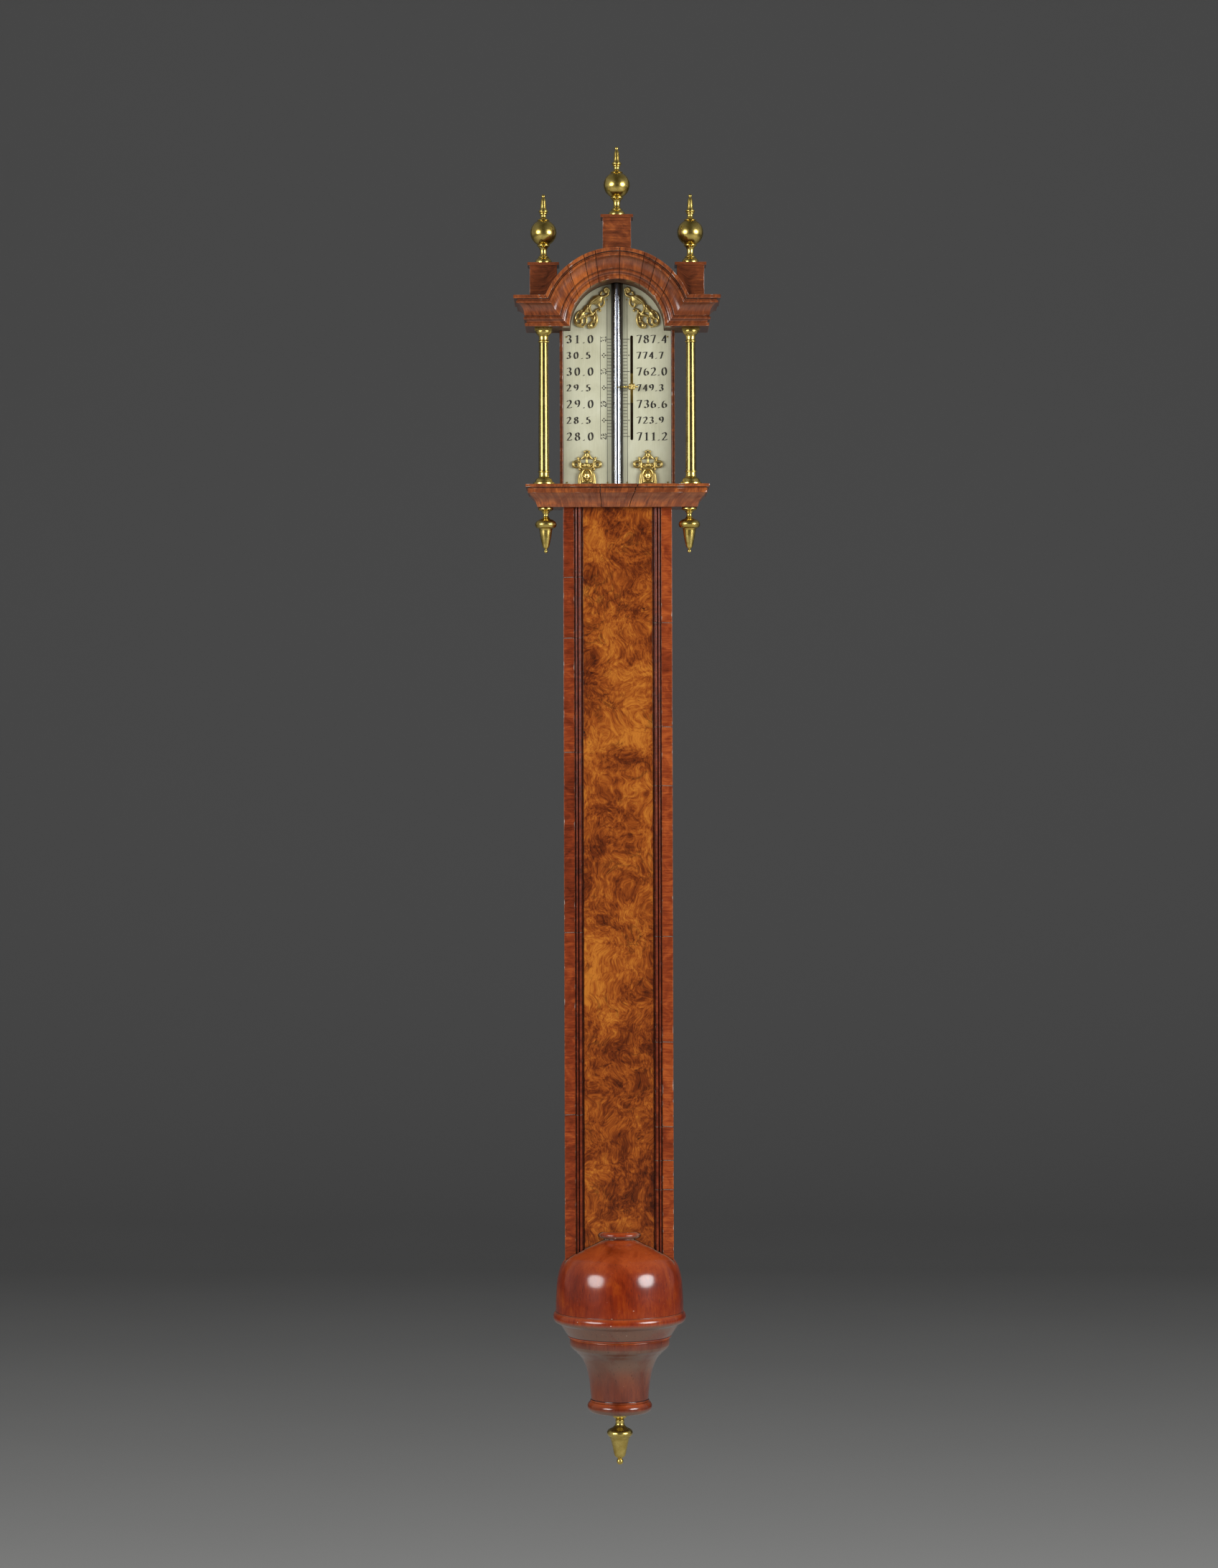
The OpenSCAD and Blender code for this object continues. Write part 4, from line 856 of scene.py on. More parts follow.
FINIAL = ([(0, 0), (6, 0), (6.5, 0.5), (6.5, 1.6)]
          + curve([(6.4, 2.2), (5.6, 3.4), (4.5, 4.4)]) + [(4.1, 4.7)]
          + curve([(4.2, 5.1), (3.9, 5.7), (3.1, 6.3), (2.7, 7.4), (2.6, 9.4), (2.9, 11.4), (3.6, 12.8),
                   (4.7, 13.8)])
          + [(5, 14.0), (5, 14.6)] + arc((0, 24.3), 10.2, -65, 65, 40) + [(4.8, 33.9)]
          + curve([(4.4, 34.5), (3.2, 35.1), (2.4, 36.2), (2.2, 37.2), (2.5, 38.6)])
          + [(3, 38.9), (3, 39.6), (2.7, 39.8)] + arc((2.5, 41), (1.25, 1.2), -90, 90) + [(2.6, 42.2)]
          + curve([(2.55, 42.5), (2.3, 43.6), (2.15, 46.4), (1.9, 49.6), (1.5, 50.8), (1.15, 51.4)])
          + arc((0, 52.9), 1.5, -45, 90, 12))
COLUMN_BASE = ([(0, 0), (8, 0), (8.4, 0.5), (8.4, 1.7), (8, 2.1), (7, 2.3)]
               + curve([(6.9, 2.6), (6.3, 4.4), (4.8, 5.7)]) + [(4.4, 5.9)]
               + curve([(4.2, 6.3), (4, 8.4), (4.1, 9.8)]) + [(4.8, 10.1), (4.8, 10.6), (0, 10.6)])
CAPITAL = ([(0, 0), (4.1, 0), (4.3, 0.5), (4.3, 1), (3.8, 1.6)] + curve([(3.7, 2), (3.7, 4), (3.9, 5.2)])
           + [(4.5, 5.5), (4.6, 6)] + curve([(5, 6.3), (5.9, 7.4), (6.2, 8.6)]) + [(6.2, 9), (0, 9)])
ABACUS_T = 2.2
ABACUS_W = 13.6
PENDANT = ([(0, 0), (5.5, 0), (5.9, -0.5), (5.9, -1.4), (5.3, -2)]
           + curve([(3.4, -2.8), (2.1, -5), (2.2, -7), (3.6, -8.8)])
           + curve([(5.2, -9.3), (7.6, -11), (8.4, -13.4), (7.4, -15.6)]) + [(5.4, -16.4), (5.2, -17)]
           + curve([(5, -17.4), (4.2, -23), (2.9, -29), (2, -31.4)]) + [(1.1, -31.9)]
           + arc((0, -33.9), 1.5, 50, -90, 10))
KNOB = ([(0, -0.3), (6, -0.3), (6.1, -1.2)] + curve([(6, -2.4), (5.5, -3.8), (4.3, -5), (3.2, -6)])
        + [(3.5, -6.5), (3.5, -7.3)] + curve([(3.4, -7.8), (3.5, -9.4), (4.3, -10.9), (5.7, -12.2)])
        + curve([(7.4, -13), (9.3, -14.3), (10.1, -16.2), (9.6, -17.9), (8.4, -19.2)])
        + [(8.1, -19.6), (8.1, -20.2), (7.6, -20.6)]
        + curve([(7.3, -21.2), (6.2, -25.6), (5.5, -28.8), (4.9, -32), (4.1, -34.4), (3, -35.6)])
        + [(2.1, -36.2)] + arc((0, -38.75), 2.65, 50, -90, 12))


def brass_turning(node, outline, x, out, z, material=BRASS, body="case"):
    stands_for(turned(f"{node}_brass", outline, (x, out, z), material, body), "brass", node)


def dress_brass():
    for name in (*SIDES, "centre"):
        centre = middle(f"finial_{name}")
        brass_turning(f"finial_{name}", FINIAL, centre.x, centre.y, extent(f"plinth_cap_{name}")[1].z)
    foot = base_high.z + COLUMN_BASE[-1][1]
    head = arch_z - ABACUS_T - CAPITAL[-1][1]
    tall = head - foot
    shaft = ([(0, 0), (4.2, 0), (4.1, 1)] + curve([(4.1, 1.2), (4, tall / 3), (3.6, tall - 1)], 10)
             + [(3.6, tall), (0, tall)])
    abacus_edge = 0.8
    rim = soften([(-abacus_edge, 0), (0, 0), (0, ABACUS_T), (-abacus_edge, ABACUS_T)], 0.3)
    for name in SIDES:
        centre = middle(f"column_base_{name}")
        brass_turning(f"column_base_{name}", COLUMN_BASE, centre.x, centre.y, base_high.z)
        brass_turning(f"column_shaft_{name}", shaft, centre.x, centre.y, foot, COLUMN_BRASS_PAINTED_DARK)
        brass_turning(f"column_capital_{name}", CAPITAL, centre.x, centre.y, head)
        low = Vector((centre.x - ABACUS_W / 2, centre.y - ABACUS_W / 2, arch_z - ABACUS_T))
        high = Vector((centre.x + ABACUS_W / 2, centre.y + ABACUS_W / 2, arch_z))
        abacus = board(f"column_abacus_{name}_brass", low, high, rim, BRASS)
        stands_for(abacus, "brass", f"column_capital_{name}")
        centre = middle(f"pendant_{name}")
        brass_turning(f"pendant_{name}", PENDANT, centre.x, centre.y, base_low.z)
    brass_turning("screw_knob", KNOB, tube_axis.x, tube_axis.y, cup_low.z, body="portable_screw")


# Turned cistern cover: outlines of (radius, height from the top of the dome)

DOME = ([(0, 0), (15.8, 0)] + arc((15.6, -2.6), (3.2, 2.6), 88, -84, 14) + [(15.2, -5.2), (15.2, -6)]
        + curve([(17.4, -7), (20.8, -9.1), (24.6, -11.1), (30.7, -14), (37.5, -18.2), (42.7, -22.3),
                 (46.3, -28.3), (48.5, -37), (49.4, -46), (49.9, -55), (50, -61.8)])
        + [(50, -62.6), (50.5, -63)] + arc((49.7, -67), (2.2, 3.9), 72, -74, 16) + [(49.4, -71), (47, -72.2)]
        + curve([(46.5, -72.8), (44.8, -75.2), (42.8, -78.2), (41.2, -80.6)])
        + [(40.6, -81.2), (40.6, -82.4), (39.6, -82.9), (0, -82.9)])
CUP = ([(0, -82.9), (38.7, -82.9), (39.1, -83.5)] + curve([(39.1, -88.6), (37.9, -91), (35.2, -93.3)])
       + curve([(34, -94.6), (30.1, -98.6), (27.3, -104.2), (25.3, -110.4), (23.7, -119.2), (22.5, -131.4)])
       + [(23.3, -132.6)] + arc((20.65, -137.25), 4.65, 72, -78, 14) + [(19.7, -141.9), (0, -141.9)])


def dress_cover():
    """The cover is cut flat at the wall, and the dome is cut out round the end of the trunk."""
    axis = (tube_axis.x, tube_axis.y, dome_high.z)
    far = 200.0
    wall = ((-far, -far, cup_low.z - far), (far, 0.0, far))
    rounds = [(min(radius, dome_high.x), height) for radius, height in DOME]
    dome = turned("cover_dome_wood", rounds, axis, TURNED, steps=160, corner=0.5)
    above = dome_high.z + 5
    trunk = ((-stile_high.x, -1.0, stile_low.z), (stile_high.x, panel_high.y, above))
    bead_x, bead_half = (bead_low.x + bead_high.x) / 2, (bead_high.x - bead_low.x) / 2
    edges = [((side * bead_x - bead_half, 1.0, stile_low.z), (side * bead_x + bead_half, bead_high.y, above))
             for side in SIDES.values()]
    carve(dome, wall, trunk, *edges)
    stands_for(dome, "turned_walnut", "cover_dome")
    cup = turned("cover_cup_wood", CUP, axis, TURNED_DARK, steps=160, corner=0.5)
    carve(cup, wall)
    stands_for(cup, "turned_walnut", "cover_cup")


# Register: graduations and numbers

INK_RISE = 0.03
# Slant of the pen in degrees
PEN_SLANT = 18


class Engraving:
    """Gathers engraved strokes into one mesh. Each rises on its way, so that strokes can cross."""

    def __init__(self):
        self.points, self.faces, self.bands = [], [], 0

    def band(self, left, right):
        """A thin band between two rows of (x, z) points."""
        rise = INK_RISE * (1 + 0.4 * (self.bands % 3))
        foot = plate_front - INK_RISE
        start = len(self.points)
        for i, (a, b) in enumerate(zip(left, right)):
            top = plate_front + rise * (1 + 0.3 * i / len(left))
            self.points += [metres((x, out, z)) for (x, z), out in ((a, foot), (a, top), (b, top), (b, foot))]
        faces = quads(len(left), 4, around=True)
        end = 4 * len(left) - 4
        faces += [(0, 1, 2, 3), (end, end + 1, end + 2, end + 3)]
        self.faces += [tuple(start + i for i in face) for face in faces]
        self.bands += 1

    def line(self, start, end, width):
        side = (Vector(end) - Vector(start)).normalized() * width / 2
        side = Vector((-side.y, side.x))
        self.band([Vector(start) + side, Vector(end) + side], [Vector(start) - side, Vector(end) - side])

    def pen(self, path, width):
        """A stroke of a broad pen held aslant, so that upright strokes are thick and level ones thin."""
        slant = math.radians(PEN_SLANT)
        nib = Vector((math.cos(slant), math.sin(slant))) * width / 2
        self.band([Vector(p) + nib for p in path], [Vector(p) - nib for p in path])

    def dot(self, centre, radius):
        upper = arc(centre, radius, 180, 0, 10)
        self.band(upper, [(x, 2 * centre[1] - z) for x, z in upper])


# Strokes of each figure in a box 0.6 wide and 1 high
FIGURES = {
    "0": [arc((0.3, 0.5), (0.25, 0.48), 90, 450, 28)],
    "1": [[(0.14, 0.84), (0.32, 0.98), (0.32, 0.02)], [(0.14, 0.02), (0.5, 0.02)]],
    "2": [arc((0.29, 0.73), (0.22, 0.25), 165, -35, 16) + [(0.06, 0.04), (0.54, 0.04), (0.56, 0.14)]],
    "3": [arc((0.28, 0.75), (0.2, 0.23), 155, -90, 16), arc((0.28, 0.27), (0.24, 0.25), 90, -155, 16)],
    "4": [[(0.44, 0.0), (0.44, 0.98), (0.05, 0.3), (0.58, 0.3)]],
    "5": [[(0.52, 0.96), (0.16, 0.96), (0.13, 0.56)], arc((0.27, 0.31), (0.25, 0.29), 125, -150, 18)],
    "6": [curve([(0.47, 0.93), (0.24, 0.84), (0.08, 0.55), (0.06, 0.3)], 5),
          arc((0.3, 0.28), (0.24, 0.26), 180, 540, 22)],
    "7": [[(0.07, 0.86), (0.08, 0.96), (0.54, 0.96), (0.24, 0.0)]],
    "8": [arc((0.3, 0.75), (0.19, 0.22), 90, 450, 22), arc((0.3, 0.27), (0.24, 0.26), 90, 450, 22)],
    "9": [curve([(0.13, 0.07), (0.36, 0.16), (0.52, 0.45), (0.54, 0.7)], 5),
          arc((0.3, 0.72), (0.24, 0.26), 0, 360, 22)],
    ".": [[(0.1, 0.09), (0.1, 0.0)]],
}
FIGURE_W = 0.62
POINT_W = 0.25


def write(engraving, figures, place, height, width, gap, upward=False):
    """Writes figures from a place on their lower left corner; upward turns them to read up the plate."""
    x = 0.0
    for figure in figures:
        for stroke in FIGURES[figure]:
            flat = [(x + a * height, b * height) for a, b in stroke]
            if upward:
                flat = [(-b, a) for a, b in flat]
            engraving.pen([(place[0] + a, place[1] + b) for a, b in flat], width)
        x += (POINT_W if figure == "." else FIGURE_W) * height + gap


def inch_height(inches):
    return scale_middle + (inches - SCALE_MIDDLE_INCHES) * INCH


def engrave_register():
    left, right = Engraving(), Engraving()
    low, high = SCALE_MIDDLE_INCHES - 1.5, SCALE_MIDDLE_INCHES + 1.5
    tube_edge, rule_left, rule_right, column_edge = 4.8, -7.8, 8.0, -13.1
    rule_w, column_w, tick_w, half_tick_w, past_ends = 0.34, 0.28, 0.4, 0.48, 2.2
    plate_foot, plate_top = base_high.z + 0.5, arch_z + arch_r - 2.5
    left.line((rule_left, plate_foot), (rule_left, plate_top), rule_w)
    column_foot, column_top = inch_height(low) - past_ends, inch_height(high) + past_ends
    left.line((column_edge, column_foot), (column_edge, column_top), column_w)
    right.line((rule_right, plate_foot), (rule_right, plate_top), rule_w)
    half_reach, whole_reach, dot_gap, dot_r = 1.2, 1.9, 1.2, 0.5
    flower_gap, petal_x, petal_z, petal_r = 2.6, 1.1, 1.3, 0.55
    for i in range(31):
        z = inch_height(low + i / 10)
        whole, half = i % 10 == 0, i % 5 == 0
        width = half_tick_w if half else tick_w
        left.line((-tube_edge, z), (rule_left - (half_reach if half else 0), z), width)
        right.line((tube_edge, z), (rule_right + (whole_reach if whole else 0), z), width)
        if half and not whole:
            right.dot((rule_right + dot_gap, z), dot_r)
            for a, b in ((-petal_x, 0), (petal_x, 0), (0, petal_z), (0, -petal_z)):
                left.dot((rule_left - flower_gap + a, z + b), petal_r)
    small_h, small_pen, small_gap = 3.8, 0.75, 0.3
    for inches in (28, 29, 30, 31):
        place = (rule_left - 0.9, inch_height(inches) - 2.5)
        write(left, str(inches), place, small_h, small_pen, small_gap, upward=True)
    whole_h, half_h, pen_w = 6.4, 5.4, 1.5
    inches_x, inches_gap, millimetres_x, millimetres_gap = -39.5, 2.4, 15.5, 1.5
    for i in range(7):
        inches = low + i / 2
        tall = whole_h if i % 2 == 0 else half_h
        z = inch_height(inches) - tall / 2
        write(left, f"{inches:.1f}", (inches_x, z), tall, pen_w, inches_gap)
        write(right, f"{inches * INCH:.1f}", (millimetres_x, z), tall, pen_w, millimetres_gap)
    for name, engraving in (("left", left), ("right", right)):
        piece = build(f"register_engraving_{name}", engraving.points, engraving.faces, WAX)


# Cast mounts

class Casting:
    """Gathers rods and drops of metal that melt into one casting.

    Places are (x, z) on the plate, and a flip of -1 mirrors what is added while it holds.
    """

    def __init__(self, side, origin, heft, spread=(1.0, 1.0)):
        self.side, self.origin, self.shape = side, Vector(origin), bmesh.new()
        self.heft, self.spread, self.flip = heft, spread, 1

    def spot(self, x, out, z):
        return metres((self.side * (self.origin.x + x * self.spread[0]), self.origin.y + out,
                       self.origin.z + z * self.spread[1]))

    def drop(self, x, z, size, out, turn=0.0):
        """An egg of metal with half-sizes (across, out, up), turned in the plane of the plate by degrees."""
        size = size if isinstance(size, tuple) else (size, size, size)
        turned_by = Matrix.Rotation(-self.side * self.flip * math.radians(turn), 4, "Y")
        place = Matrix.Translation(self.spot(self.flip * x, out, z)) @ turned_by
        bmesh.ops.create_icosphere(self.shape, subdivisions=3, radius=1.0,
                                   matrix=place @ Matrix.Diagonal((*(Vector(size) * MM), 1)))

    def rod(self, path, widths, out, crest=0.0):
        """A rounded rod along (x, z) points; widths run evenly from end to end."""
        sides, plump = 10, 1.15
        angles = [2 * math.pi * q / sides for q in range(sides)]
        path = [(self.flip * x, z) for x, z in path]
        points = []
        for i, (x, z) in enumerate(path):
            t = i / (len(path) - 1)
            k = t * (len(widths) - 1)
            j = min(int(k), len(widths) - 2)
            radius = self.heft * (widths[j] + (widths[j + 1] - widths[j]) * (k - j)) / 2
            way = (Vector(path[min(i + 1, len(path) - 1)]) - Vector(path[max(i - 1, 0)])).normalized()
            lift = out + crest * math.sin(math.pi * t)
            for a in angles:
                reach = radius * math.cos(a)
                spot = self.spot(x - way.y * reach, lift + plump * radius * math.sin(a), z + way.x * reach)
                points.append(self.shape.verts.new(spot))
        for face in quads(len(path), sides, around=True):
            self.shape.faces.new([points[k] for k in face])
        self.shape.faces.new(points[sides - 1::-1])
        self.shape.faces.new(points[-sides:])

    def stem(self, points, widths, out, crest=0.0, steps=5):
        """A rod on a smooth curve through points."""
        self.rod(curve(points, steps), widths, out, crest)

    def scroll(self, centre, outer, inner, start, end, widths, out, crest=0.4):
        """A spiral rod from the outer radius to the inner one, angles in degrees."""
        steps = max(12, int(abs(end - start) / 12))
        path = []
        for i in range(steps + 1):
            t = i / steps
            radius = outer + (inner - outer) * t
            angle = math.radians(start + (end - start) * t)
            path.append((centre[0] + radius * math.cos(angle), centre[1] + radius * math.sin(angle)))
        self.rod(path, widths, out, crest)

    def leaf(self, start, end, width, lobes, out):
        """A leaf of tapered lobes that fan out on both sides of a midrib."""
        start, end = Vector(start), Vector(end)
        side = Vector((start.y - end.y, end.x - start.x)).normalized() * width / 2
        for i in range(-lobes, lobes + 1):
            share = i / lobes
            bend = start.lerp(end, 0.45 - 0.2 * abs(share)) + side * share * 0.8
            tip = start.lerp(end, 1 - 0.4 * abs(share)) + side * share
            self.stem([tuple(start), tuple(bend), tuple(tip)], (0.5, 1.1, 0.6), out + 0.4 * (1 - abs(share)))

    def cast(self, node, voxel):
        """Melts everything together, with its back on the plate, in place of a solid."""
        bmesh.ops.recalc_face_normals(self.shape, faces=self.shape.faces)
        piece = melted(f"{node}_gilt", self.shape, voxel)
        for vertex in piece.data.vertices:
            vertex.co.y = min(vertex.co.y, -plate_front * MM)
        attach(piece, "case")
        stands_for(piece, "gilt_brass", node)


# Spandrel, from the arch's centre: long and short stems as (points, widths, out, crest), then
# leaves as (start, end, width, lobes, out) and beads as (x, z, radius)
LONG_STEMS = (
    ([(12.8, 26.2), (9.6, 26.6), (7.3, 27.8), (6.5, 30.2)], (1.5, 1.7, 1.5, 1.2), 0.8, 0.4),
    ([(11.0, 26.6), (14.4, 26.0), (17.8, 24.2), (20.6, 21.6), (21.6, 18.4)], (1.6, 2.0, 2.0, 1.5), 0.8, 0.5),
    ([(12.4, 25.4), (15.6, 23.6), (18.8, 21.2)], (1.6, 2.8, 1.6), 0.5, 0.0),
    ([(11.6, 26.2), (10.4, 24.2), (9.9, 21.8), (10.8, 19.6), (12.8, 18.3), (14.2, 18.9)],
     (0.9, 1.0, 1.0, 0.9), 0.8, 0.0),
    ([(20.4, 21.4), (21.8, 18.6), (21.2, 15.8), (20.0, 13.8), (18.4, 12.9)], (1.3, 1.4, 1.3, 1.0), 1.0, 0.5),
    ([(16.9, 16.2), (16.8, 13.8), (16.0, 11.0), (15.8, 8.2), (16.4, 5.4), (17.7, 3.2), (19.6, 2.1)],
     (1.1, 1.2, 1.5, 1.4, 1.2), 0.8, 0.5),
    ([(24.6, 16.4), (27.7, 15.6), (30.3, 14.2), (32.2, 11.6), (32.8, 8.6), (32.2, 7.0)],
     (0.9, 0.9, 0.9, 1.1), 0.7, 0.3),
    ([(26.6, 10.8), (24.7, 10.2), (23.8, 7.9), (24.5, 5.2), (26.8, 3.0)], (0.9, 1.0, 1.0, 0.9), 0.8, 0.2),
    ([(33.0, 8.4), (32.4, 5.6), (30.2, 3.7), (26.2, 2.6)], (1.0, 1.3, 1.3, 0.9), 0.7, 0.3))
SHORT_STEMS = (
    ([(13.8, 26.4), (12.9, 28.2), (12.2, 29.6)], (1.6, 0.9, 1.1), 0.8, 0.0),
    ([(14.6, 21.8), (14.3, 20.2), (13.4, 18.5)], (1.3, 1.5, 0.9), 0.9, 0.2),
    ([(17.0, 14.8), (15.8, 16.3), (14.4, 16.7), (13.4, 15.8)], (1.1, 1.1, 1.2, 1.3), 0.8, 0.2),
    ([(16.9, 6.6), (18.8, 6.8), (20.6, 6.1)], (1.3, 1.5, 0.9), 0.8, 0.2),
    ([(18.6, 12.6), (20.8, 12.1), (22.4, 11.8), (24.2, 10.6)], (1.3, 1.6, 1.5, 0.9), 0.8, 0.3),
    ([(21.4, 18.8), (23.2, 17.6), (24.6, 15.8), (26.4, 13.8)], (1.6, 2.0, 1.9, 1.4), 0.7, 0.3),
    ([(26.0, 14.4), (27.8, 12.2), (29.2, 9.4)], (1.3, 2.0, 1.3), 0.7, 0.3),
    ([(26.6, 13.8), (26.2, 11.8), (26.8, 9.4)], (0.9, 1.0, 0.9), 0.8, 0.0))
LEAVES = (
    ((11.8, 26.4), (20.6, 20.4), 6.2, 3, 1.7), ((13.4, 25.2), (15.2, 19.6), 4.2, 2, 1.1),
    ((17.2, 12.4), (18.6, 6.6), 3.8, 2, 0.9), ((16.4, 8.8), (20.4, 10.6), 2.8, 2, 0.8),
    ((21.2, 18.6), (26.2, 13.8), 4.8, 3, 1.2), ((26.0, 14.6), (29.6, 9.2), 4.4, 2, 1.2))
BOSS, VOLUTE, RING = (8.5, 31.4), (20.9, 3.8), (29.8, 7.0)
BEADS = ((12.2, 29.7, 1.1), (13.3, 15.5, 1.15), (18.1, 13.6, 0.95), (*VOLUTE, 1.2), (22.9, 11.0, 0.95),
         (23.3, 19.0, 1.2), (25.0, 17.2, 1.0), (27.3, 8.3, 0.9), (27.2, 5.8, 0.95))


def cast_spandrel(name, side):
    """Pierced foliate scrolls between the arch and the tube."""
    c = Casting(side, (0, plate_front, arch_z), 1.5)
    c.drop(*BOSS, (2.5, 1.3, 2.6), 0.9)
    c.scroll(BOSS, 2.4, 0.6, 230, -150, (1.2, 1.1, 0.9), 1.2)
    c.scroll(VOLUTE, 1.8, 0.9, -130, 290, (1.2, 1.0), 0.8, 0.3)
    c.scroll(RING, 2.3, 2.1, 80, -290, (1.3, 1.3, 1.2), 0.8, 0.3)
    for stem in LONG_STEMS:
        c.stem(*stem, steps=6)
    for stem in SHORT_STEMS:
        c.stem(*stem)
    for leaf in LEAVES:
        c.leaf(*leaf)
    for x, z, radius in BEADS:
        c.drop(x, z, radius, 1.1)
    c.cast(f"spandrel_{name}", 0.17)


def cast_mask(name, side):
    """Crowned mask between scrolls. The face is a plain calm one on even proportions."""
    lift, heft, spread = 2.0, 1.4, (1.07, 1.03)
    centre_x = abs(middle(f"mask_mount_{name}").x)
    c = Casting(side, (centre_x, plate_front, base_high.z + lift), heft, spread)
    head_z, head_out = 6.2, 1.4
    brow, nose, mouth, chin = head_z + 1.0, head_z - 0.8, head_z - 2.0, head_z - 3.4
    front = head_out + 2.4
    c.drop(0, head_z, (2.7, 2.6, 4.4), head_out)
    c.rod([(0, brow), (0, nose + 0.4), (0, nose)], (0.5, 0.7, 1.1), front + 0.05)
    c.drop(0, mouth, (0.85, 0.5, 0.28), front - 0.4)
    c.drop(0, chin, (0.9, 0.7, 0.6), front - 0.9)
    for flip in (-1, 1):
        c.flip = flip
        # Brow, eye and cheek
        c.rod([(0.5, brow + 0.25), (1.1, brow + 0.4), (1.7, brow + 0.1)], (0.4, 0.5, 0.3), front - 0.25)
        c.drop(1.05, brow - 0.6, (0.5, 0.4, 0.34), front - 0.5)
        c.drop(1.4, nose - 0.1, (0.8, 0.6, 0.8), front - 1.0)
        # Hair and collar
        c.stem([(1.6, 11.0), (3.2, 9.6), (4.3, 7.4), (5.1, 4.4), (5.7, -1.4)],
               (1.2, 1.8, 2.2, 2.1, 1.5), 1.1, 0.5)
        c.stem([(2.6, 8.4), (3.0, 5.2), (3.6, 2.6)], (0.8, 1.2, 1.0), 1.2)
        c.scroll((4.2, 1.6), 1.5, 0.5, 30, 410, (0.9, 0.8), 1.1)
        c.stem([(3.0, 2.4), (1.6, 1.0), (0, 0.7)], (0.8, 0.9, 0.8), 1.0)
        c.stem([(2.6, 3.4), (1.5, 1.9), (0, 1.5)], (0.5, 0.6, 0.5), 1.3)
        # Crown with its side scrolls and plume
        c.stem([(0, 11.6), (1.8, 11.5), (3.8, 12.0)], (1.5, 1.6, 1.2), 1.6)
        c.scroll((3.2, 13.9), 1.5, 1.4, 90 - 90 * flip, 90 + 270 * flip, (0.7, 0.7), 1.5, 0.0)
        c.drop(3.2, 13.9, (0.75, 0.9, 0.75), 1.8)
        c.drop(5.3, 10.9, (0.95, 1.1, 1.0), 1.1)
        c.stem([(5.0, 11.6), (5.6, 13.4), (5.2, 16.0), (6.1, 18.6)], (1.5, 1.9, 1.4, 1.2), 1.1, 0.3)
        c.drop(6.3, 19.4, (1.1, 1.1, 1.2), 1.0, -20)
        c.scroll((7.9, 14.6), 2.5, 1.8, 200, -130, (1.7, 1.6, 1.4), 1.0, 0.4)
        c.drop(10.0, 16.2, (0.9, 1.0, 0.9), 1.0)
        c.drop(8.5, 16.9, (0.9, 0.9, 0.7), 1.0, 20)
        c.drop(9.9, 13.2, (1.0, 1.0, 0.9), 1.0, 20)
        c.stem([(0.5, 23.4), (1.6, 21.6), (2.6, 19.8), (4.2, 18.9)], (1.3, 1.5, 1.4, 0.9), 1.1, 0.4)
        c.drop(1.6, 24.4, (0.8, 0.9, 1.0), 1.1, 40)
    # Crown's middle and its plume
    c.scroll((0.2, 14.2), 1.7, 1.6, 0, 360, (0.8, 0.8), 1.4, 0.0)
    c.drop(0.2, 14.2, (1.3, 1.2, 1.3), 1.5)
    c.stem([(0, 16.0), (0.1, 18.4), (0, 20.8), (0, 23.0)], (1.2, 1.0, 1.7, 1.1), 1.2, 0.4)
    c.drop(0, 25.2, (0.8, 0.9, 0.7), 1.1)
    c.drop(0, 12.9, (4.2, 0.7, 1.6), 0.8)
    c.cast(f"mask_mount_{name}", 0.15)


# Index, tube and mercury

def dress_index():
    low, high = extent("index_pointer")
    out = (low.y + high.y) / 2
    stem = middle("index_slider").x
    # The pointer is turned like a rod and laid along x; its outline is (radius, distance)
    finger = ([(0, 0), (0.2, 0.05)]
              + curve([(0.25, 0.4), (0.42, 3.2), (0.5, 4.8), (1.0, 6.0), (1.1, 6.6), (0.7, 7.8)])
              + [(0.5, 8.1), (0.5, stem - 1.0), (0, stem - 1.0)])
    piece = turned("index_pointer_brass", finger, (0, 0, 0), BRASS, "index", steps=32, corner=0.1)
    start = metres((low.x, out, scale_middle))
    piece.data.transform(Matrix.Translation(start) @ Matrix.Rotation(math.radians(90), 4, "Y"))
    stands_for(piece, "brass", "index_pointer")
    shape = bmesh.new()
    ball_r, spread = 1.55, 1.5
    front = high.y + ball_r - 0.6
    balls = [(x, front, z, ball_r) for x, z in arc((stem, scale_middle), spread, 45, 315, 3)]
    balls += [(stem, front + 0.8, scale_middle, 1.0), (stem + 4.0, high.y + 0.6, scale_middle, 0.95),
              (stem, out, scale_middle, 1.9), (stem + 2.6, high.y + 0.4, scale_middle, 0.6)]
    for x, away, z, radius in balls:
        bmesh.ops.create_icosphere(shape, subdivisions=4, radius=radius * MM,
                                   matrix=Matrix.Translation(metres((x, away, z))))
    boss = melted("index_boss_brass", shape, 0.12)
    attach(boss, "index")
    stands_for(boss, "brass", "index_boss")


BORE_R = 2.0
# Glass above the bore
CROWN_T = 3


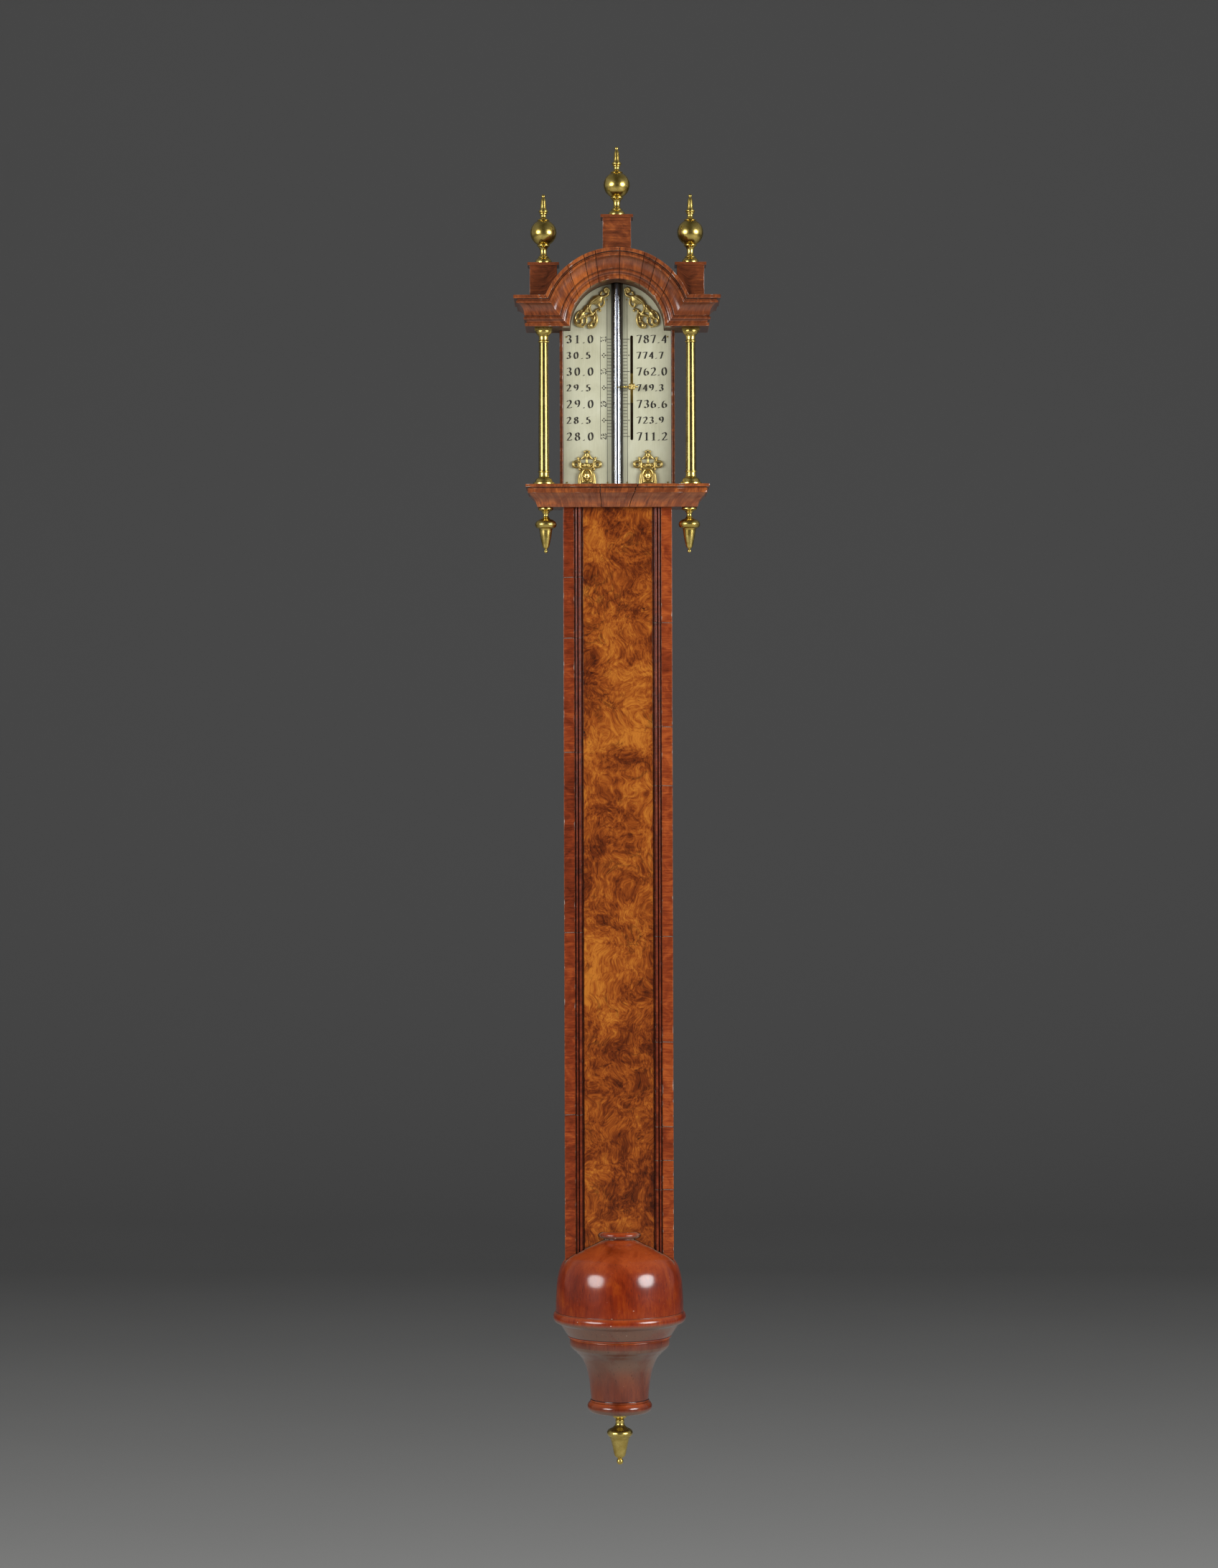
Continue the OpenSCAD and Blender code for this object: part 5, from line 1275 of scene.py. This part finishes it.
def dress_tube():
    axis = (tube_axis.x, tube_axis.y, 0)
    radius = (tube_high.x - tube_low.x) / 2
    top, bore_top, steps = tube_high.z, tube_high.z - CROWN_T, 64
    wall = ([(BORE_R, tube_low.z), (radius, tube_low.z), (radius, top - radius)]
            + arc((0, top - radius), radius, 2, 90, 16)
            + [(0, bore_top), (BORE_R * 0.8, bore_top), (BORE_R, bore_top - 0.5)])
    points = [point for r, z in wall for point in ring(axis, r, z, steps)]
    faces = quads(len(wall), steps, closed=True, around=True)
    stands_for(build("glass_tube_clear", points, faces, GLASS, sharp=40.0), "glass", "glass_tube")
    wetted = BORE_R + 0.02
    low, high = extent("mercury_column")
    tall = high.z - low.z
    side = [(wetted, tall * i / 40) for i in range(41)]
    foot = (tube_axis.x, tube_axis.y, low.z)
    column = turned("mercury_column_bright", [(0, 0)] + side + [(0, tall)], foot, MERCURY,
                    steps=48, corner=0.01)
    stands_for(column, "mercury", "mercury_column")
    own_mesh(column)
    low, high = extent("mercury_meniscus")
    rise = high.z - low.z
    crest = ([(0, 0), (wetted, 0), (wetted, rise - 0.7)]
             + curve([(wetted, rise - 0.6), (wetted * 0.75, rise - 0.2), (0, rise)]))
    piece = turned("mercury_meniscus_bright", crest, (tube_axis.x, tube_axis.y, low.z), MERCURY,
                   "mercury_top", steps=48, corner=0.01)
    stands_for(piece, "mercury", "mercury_meniscus")


# Finish of the solids that stay as they are

def dress_solids():
    finishes = (
        (OAK, ("backboard", "hood_carcass", "tube_blocks")),
        (SHEET_BRASS, ("hanging_plate", "hanging_screws", "register_pins", "index_slider", "index_spring",
                       "screw_bush")),
        (SILVERED, ("register_plate_left", "register_plate_right")),
        (BOXWOOD, ("cistern_body", "cistern_lid", "press_pad")),
        (LEATHER, ("tube_gasket", "cistern_leather")),
        (CORD, ("leather_binding",)),
        (MERCURY, ("mercury_pool",)),
        (STEEL, ("portable_screw", "cover_screws")))
    for material, names in finishes:
        for name in names:
            mesh = nodes[name].data
            mesh.materials.clear()
            mesh.materials.append(material)


# Stage, in metres

AIM = Vector((0, 0, -0.4))
LAMP_DISTANCE = 3.0
LAMP_RISE = 0.5
LAMP_W = 1.7
LAMP_H = 0.65 * LAMP_W
# Each lamp's angle from the camera's side of the object, in degrees, and its watts
LAMPS = {"soft_lamp_left": (-46, 53.0), "soft_lamp_right": (52, 69.0)}


def lay_floor():
    """A pale floor that darkens as it sweeps up far behind."""
    floor_z, wide, front, bend_start, bend_r, wall_top = -1.3, 9.0, -7.0, 4.0, 2.0, 4.0
    # The floor's end and the bend's start are two points, so that the floor is shaded flat
    section = [(front, floor_z), (bend_start, floor_z)]
    section += arc((bend_start, floor_z + bend_r), bend_r, -90, 0, 24) + [(bend_start + bend_r, wall_top)]
    f = Finish("studio_paper")
    depth = f.total((f.parts(f.here())["Y"], 1.0), (f.cloud(f.here(), 2.0, 3), 0.3))
    f.tones(f.span(depth, 0.5, 5.0), (0.0, srgb(212, 212, 210)), (0.9, srgb(127, 127, 127)))
    mesh = bpy.data.meshes.new("studio_floor")
    mesh.from_pydata([(x, y, z) for y, z in section for x in (-wide, wide)], [], quads(len(section), 2))
    mesh.materials.append(f.done(Roughness=0.9, Specular_IOR_Level=0.1))
    mesh.shade_smooth()
    floor = put("studio_floor", mesh)


def light():
    """A dim surround that brightens to the sides, and two oval soft lamps."""
    world = bpy.data.worlds.new("studio_surround")
    world.use_nodes = True
    surround = world.node_tree.nodes["Background"]
    surround.inputs["Color"].default_value = (1.0, 1.0, 1.0, 1.0)
    w = Shader(world.node_tree)
    sideways = w.reckon("ABSOLUTE", w.parts(w.node("TexCoord", {}).outputs["Generated"])["X"])
    w.feed(surround.inputs["Strength"], w.between(w.span(sideways, 0.15, 1.0), 0.1, 0.32))
    bpy.context.scene.world = world
    for name, (azimuth, watts) in LAMPS.items():
        lamp = bpy.data.lights.new(name, "AREA")
        lamp.shape = "ELLIPSE"
        lamp.size = LAMP_W
        lamp.size_y = LAMP_H
        lamp.energy = watts
        holder = put(name, lamp)
        angle = math.radians(azimuth)
        away = Vector((LAMP_DISTANCE * math.sin(angle), -LAMP_DISTANCE * math.cos(angle), LAMP_RISE))
        holder.location = AIM + away
        holder.rotation_euler = (-away).to_track_quat("-Z", "Y").to_euler()
        holder.visible_camera = False


def photograph():
    """The camera stands level, a little left of the middle, about three metres off."""
    camera = put("camera", bpy.data.cameras.new("camera"))
    camera.data.lens = 85.04
    camera.data.sensor_width = 36.0
    camera.location = (-0.0072, -2.916, -0.3951)
    roll = math.radians(0.15)
    camera.rotation_euler = (math.radians(90), roll, 0)
    bpy.context.scene.camera = camera
    bpy.context.scene.view_settings.view_transform = "Standard"


dress_hood()
dress_plinths()
dress_trunk()
dress_brass()
dress_cover()
engrave_register()
for side_name, side_sign in SIDES.items():
    cast_spandrel(side_name, side_sign)
    cast_mask(side_name, side_sign)
dress_index()
dress_tube()
dress_solids()
lay_floor()
light()
photograph()
